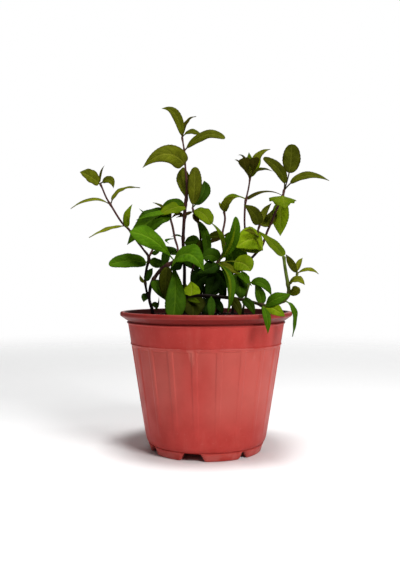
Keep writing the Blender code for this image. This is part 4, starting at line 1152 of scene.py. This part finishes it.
def nearest_spot(point, routes):
    """Where on the stems a leaf's root is: (place, the stem's half width there)."""
    spots = (spot for found in routes.values() for route in found for spot in route)
    return min(spots, key=lambda spot: (point - spot[0]).length)


def square_reach(turn):
    """How far a square stem's skin is from its axis, beside its half width."""
    corner = abs(math.cos(turn)) ** STEM_SQUARE + abs(math.sin(turn)) ** STEM_SQUARE
    return 1 / corner ** (1 / STEM_SQUARE)


def sweep_stem(work, route, joints, first):
    """A square tube along a route, swollen at its joints, with a rounded end. Its share of the stem's
    length runs from first to 1."""
    along_layer = work.verts.layers.float.get("along")
    node_layer = work.verts.layers.float.get("node")
    across = Vector((0, 1, 0))
    rings = []
    last = len(route) - 1
    for index, (spot, half) in enumerate(route):
        ahead = (route[min(last, index + 1)][0] - route[max(0, index - 1)][0]).normalized()
        across = (across - ahead * across.dot(ahead)).normalized()
        beside = ahead.cross(across)
        swelling = max([math.exp(-(((spot - joint).length / NODE_LENGTH) ** 2)) for joint in joints] or [0.0])
        width = half * (1 + NODE_SWELLING * swelling)
        # The end is rounded by two more rings, each further on and smaller.
        for forward, shrink in [(0.0, 1.0)] + ([(0.5, 0.85), (0.85, 0.5)] if index == last else []):
            ring = []
            for side in range(STEM_SIDES):
                turn = math.tau * side / STEM_SIDES
                reach = width * shrink * square_reach(turn) * FLAT_SIDE
                offset = across * math.cos(turn) * reach + beside * math.sin(turn) * reach
                vert = work.verts.new((spot + ahead * forward * half + offset) * MM)
                vert[along_layer], vert[node_layer] = first + (1 - first) * index / last, swelling
                ring.append(vert)
            rings.append(ring)
    join_rings(work, rings)
    work.faces.new(rings[0])
    work.faces.new(rings[-1])


def make_stem(name, routes, roots, material):
    """A stem and its branch in one piece, swollen where leaves grow from it."""
    work = bmesh.new()
    work.verts.layers.float.new("along")
    work.verts.layers.float.new("node")
    for number, route in enumerate(routes):
        joints = [root for root in roots if min((root - spot).length for spot, _ in route) < NODE_REACH]
        sweep_stem(work, route, joints, SIDE_BRANCH if number else 0.0)
    place_piece(f"{name}_skin", finished_mesh(work, name, STEM_CREASE), [material], [name])


def outline_half(blade, leaf, teeth, first_tooth):
    """Half the blade's width at a share of its length, with shallow teeth."""
    widest, base, tip = OUTLINES[leaf.outline]
    turned = min(1.0, blade) ** (math.log(0.5) / math.log(widest))
    half = leaf.width / 2 * max(0.0, math.sin(math.pi * turned)) ** (base if blade < widest else tip)
    saw = (blade * teeth + first_tooth) % 1.0
    tooth = min(saw, (1 - saw) * TOOTH_BACK / (1 - TOOTH_BACK))
    return half * (1 - TOOTH_NOTCH * tooth * smooth(blade, 0.12, 0.3))


def leaf_rows(length, stalk):
    """Shares of the whole leaf where its rows lie: few on the stalk, closer at the blade's ends."""
    count = max(LEAST_ROWS, round(length * (1 - stalk) / ROW_LENGTH))
    rows = [stalk * step / STALK_ROWS for step in range(STALK_ROWS)]
    for even in evenly(0, 1, count):
        rows.append(stalk + (1 - stalk) * (even - END_CROWDING * math.sin(math.tau * even)))
    return rows


def leaf_habit(name, width):
    """What a leaf draws for itself, always the same for its name."""
    draws = random.Random(name)
    return SimpleNamespace(
        waves=draws.uniform(*LEAF_WAVES), wave=draws.uniform(*LEAF_WAVE) * width,
        phases=(draws.random() * math.tau, draws.random() * math.tau),
        twist=math.radians(draws.uniform(*LEAF_TWIST)), lean=draws.uniform(*LEAF_LEAN),
        curl=draws.uniform(*LEAF_CURL),
    )


def blade_lift(blade, across, half, leaf, habit):
    """How far the blade rises off its midrib's plane: folded, curled, wavy, and quilted between its veins."""
    reach = abs(across)
    folded = math.sin(math.radians(leaf.fold)) * (math.hypot(reach, FOLD_ROUND) - FOLD_ROUND) * half
    curled = habit.curl * half * reach ** 3
    phase = habit.phases[0 if across > 0 else 1]
    middle = math.sin(math.pi * blade)
    wavy = habit.wave * reach ** 2 * math.sin(math.tau * habit.waves * blade + phase) * middle
    rank = (blade - VEIN_SWEEP * reach ** VEIN_CURVE) * LEAF_FINISHES[leaf.kind].pairs
    quilt = (0.5 - 0.5 * math.cos(math.tau * rank)) * middle * (1 - reach ** 4) * smooth(reach, 0.0, 0.25)
    return folded - curled + wavy + quilt * QUILT * leaf.width


def make_leaf(name, leaf, routes, materials, stands_for=()):
    """A blade on its stalk, upper face and underside, with its veins and wavy margin in relief."""
    habit = leaf_habit(name, leaf.width)
    bend, tip = Vector(leaf.bend), Vector(leaf.tip)
    spot, half_stem = nearest_spot(Vector(leaf.root), routes)
    start = spot + (bend - spot).normalized() * half_stem * 0.5
    rise, drop = bend - start, tip - bend
    length = (rise.length + drop.length + (tip - start).length) / 2
    teeth = length * (1 - leaf.stalk) / TOOTH_LENGTH
    work = bmesh.new()
    tone_layer = work.verts.layers.float.new("tone")
    uv_layer = work.loops.layers.uv.new("leaf")
    steps = range(-LEAF_COLUMNS, LEAF_COLUMNS + 1)
    columns = [math.copysign(abs(step / LEAF_COLUMNS) ** COLUMN_CROWDING, step) for step in steps]
    sheets = {1: [], -1: []}
    marks = {}
    for share in leaf_rows(length, leaf.stalk):
        blade = max(0.0, (share - leaf.stalk) / (1 - leaf.stalk))
        middle = start + rise * (2 * share * (1 - share)) + (rise + drop) * share * share
        tangent = rise.lerp(drop, share).normalized()
        side = tangent.cross(Vector(leaf.face)).normalized()
        side = Matrix.Rotation(habit.twist * (blade - 0.3), 3, tangent) @ side
        normal = side.cross(tangent)
        stalk_half = STALK_HALF * (1 - STALK_TAPER * share) * min(1.0, leaf.width / FULL_STALK_WIDTH)
        spread = outline_half(blade, leaf, teeth, habit.phases[0])
        open_blade = smooth(spread / stalk_half, *BLADE_OPENS)
        least = max(stalk_half * (1 - smooth(blade, 0.6, 1.0)), EDGE_HALF)
        for above, rows in sheets.items():
            row = []
            for across in columns:
                half = max(spread * (1 + (habit.lean if across > 0 else -habit.lean)), least)
                lift = blade_lift(blade, across, half, leaf, habit)
                midrib = math.exp(-((across * half / MIDRIB_HALF) ** 2)) * smooth(blade, 1.0, 0.55)
                skin = BLADE_HALF * (1 - MARGIN_THINNING * across ** 6)
                skin += (-MIDRIB_GROOVE if above > 0 else MIDRIB_RIDGE) * midrib
                round_stalk = stalk_half * STALK_DEPTH * math.sqrt(max(0.0, 1 - across * across)) + 0.03
                thick = round_stalk + (skin - round_stalk) * open_blade
                point = middle + side * (across * half) + normal * (lift * open_blade + above * thick)
                vert = work.verts.new(point * MM)
                vert[tone_layer] = leaf.tone
                marks[vert] = ((share - leaf.stalk) / (1 - leaf.stalk), (across + 1) / 2)
                row.append(vert)
            rows.append(row)
    skin_leaf(work, *sheets.values())
    for made in work.faces:
        for loop in made.loops:
            loop[uv_layer].uv = marks[loop.vert]
    place_piece(f"{name}_blade", finished_mesh(work, name), materials, stands_for)


def skin_leaf(work, top, bottom):
    """Faces over both sheets of a leaf, along its margin and at its ends."""
    for number, rows in enumerate((top, bottom)):
        for low, high in zip(rows, rows[1:]):
            for column in range(len(low) - 1):
                quad = (low[column], low[column + 1], high[column + 1], high[column])
                work.faces.new(quad[::-1] if number else quad).material_index = number
    for low, high, under_low, under_high in zip(top, top[1:], bottom, bottom[1:]):
        work.faces.new((low[0], high[0], under_high[0], under_low[0]))
        work.faces.new((high[-1], low[-1], under_low[-1], under_high[-1]))
    work.faces.new(top[0] + bottom[0][::-1])
    work.faces.new((top[-1] + bottom[-1][::-1])[::-1])


def make_floor():
    """A wide pale floor that fades into the surroundings."""
    work = bmesh.new()
    bmesh.ops.create_circle(work, cap_ends=True, segments=96, radius=STUDIO_FLOOR)
    mesh = bpy.data.meshes.new("floor")
    work.to_mesh(mesh)
    work.free()
    material, tree, surface = new_material("pale_floor")
    place = tree.place()
    far = tree.put("ShaderNodeVectorMath", {"operation": "LENGTH"}, Vector=place).outputs["Value"]
    colour = tree.mix(tree.noise(place, 300.0, 3.0), FLOOR_GREY, FLOOR_WHITE)
    shader = tree.put("ShaderNodeBsdfPrincipled", Base_Color=colour, Roughness=0.9)
    clear = tree.put("ShaderNodeBsdfTransparent")
    tree.feed(surface, tree.blend(tree.fade(far, *FLOOR_FADE), shader, clear))
    mesh.materials.append(material)
    floor = stand("floor", mesh, (0, 0, -FLOOR_SINK))


def make_studio():
    """White surroundings that light the plant gently, and soft lights on four sides of it."""
    scene = bpy.context.scene
    scene.view_settings.view_transform = "Standard"
    world = bpy.data.worlds.new("studio")
    scene.world = world
    world.use_nodes = True
    world.node_tree.nodes.clear()
    tree = Tree(world.node_tree)
    seen = tree.put("ShaderNodeLightPath").outputs["Is Camera Ray"]
    gentle, white = (
        tree.put("ShaderNodeBackground", Color=(1, 1, 1, 1), Strength=strength) for strength in (AMBIENT, 1.0)
    )
    tree.feed(tree.put("ShaderNodeOutputWorld").inputs["Surface"], tree.blend(seen, gentle, white))
    for name, (place, aim, size, power) in STUDIO_LIGHTS.items():
        data = bpy.data.lights.new(name, "AREA")
        data.shape = "RECTANGLE"
        data.size = data.size_y = size
        data.energy = power
        light = stand(name, data, place)
        light.rotation_euler = (Vector(aim) - Vector(place)).to_track_quat("-Z", "Y").to_euler()


def make_camera():
    """A camera in front of the plant, a little above its middle."""
    data = bpy.data.cameras.new("camera")
    data.sensor_fit = "AUTO"
    data.sensor_width = SENSOR
    data.lens = LENS
    data.shift_y = SHIFT_UP
    camera = stand("camera", data, POT_AXIS + Vector(EYE) * MM)
    camera.rotation_euler = (math.radians(90), 0, 0)
    bpy.context.scene.camera = camera


def main():
    make_camera()
    make_studio()
    make_floor()
    mottling, grain, veins = make_mottling(), make_fine_grain(), make_leaf_veins()
    make_pot(make_pot_plastic(mottling, grain))
    make_soil(make_potting_soil(mottling, grain), make_grit(mottling, grain))
    purple = make_stem_skin("stem_purple", STEM_WOOD, STEM_PURPLE, STEM_YOUNG, mottling, grain)
    trailing = make_stem_skin("stem_trailing", STEM_WOOD, STEM_GREEN_LOW, STEM_GREEN, mottling, grain)
    green = make_stem_skin("stem_green", STEM_GREEN_LOW, STEM_GREEN_LOW, STEM_GREEN, mottling, grain)
    skins = {"trailing_stem": trailing, "short_shoot": green}
    leaves = {name: Leaf(*values) for name, values in (LEAVES | SMALL_LEAVES).items()}
    routes = stem_routes()
    roots = [Vector(leaf.root) for leaf in leaves.values()]
    for name in STEMS:
        make_stem(name, routes[name], roots, skins.get(name, purple))
    faces = {
        kind: [make_leaf_face(kind, under, mottling, grain, veins) for under in (False, True)]
        for kind in LEAF_FINISHES
    }
    for name, leaf in leaves.items():
        make_leaf(name, leaf, routes, faces[leaf.kind], [name] if name in LEAVES else ())


main()
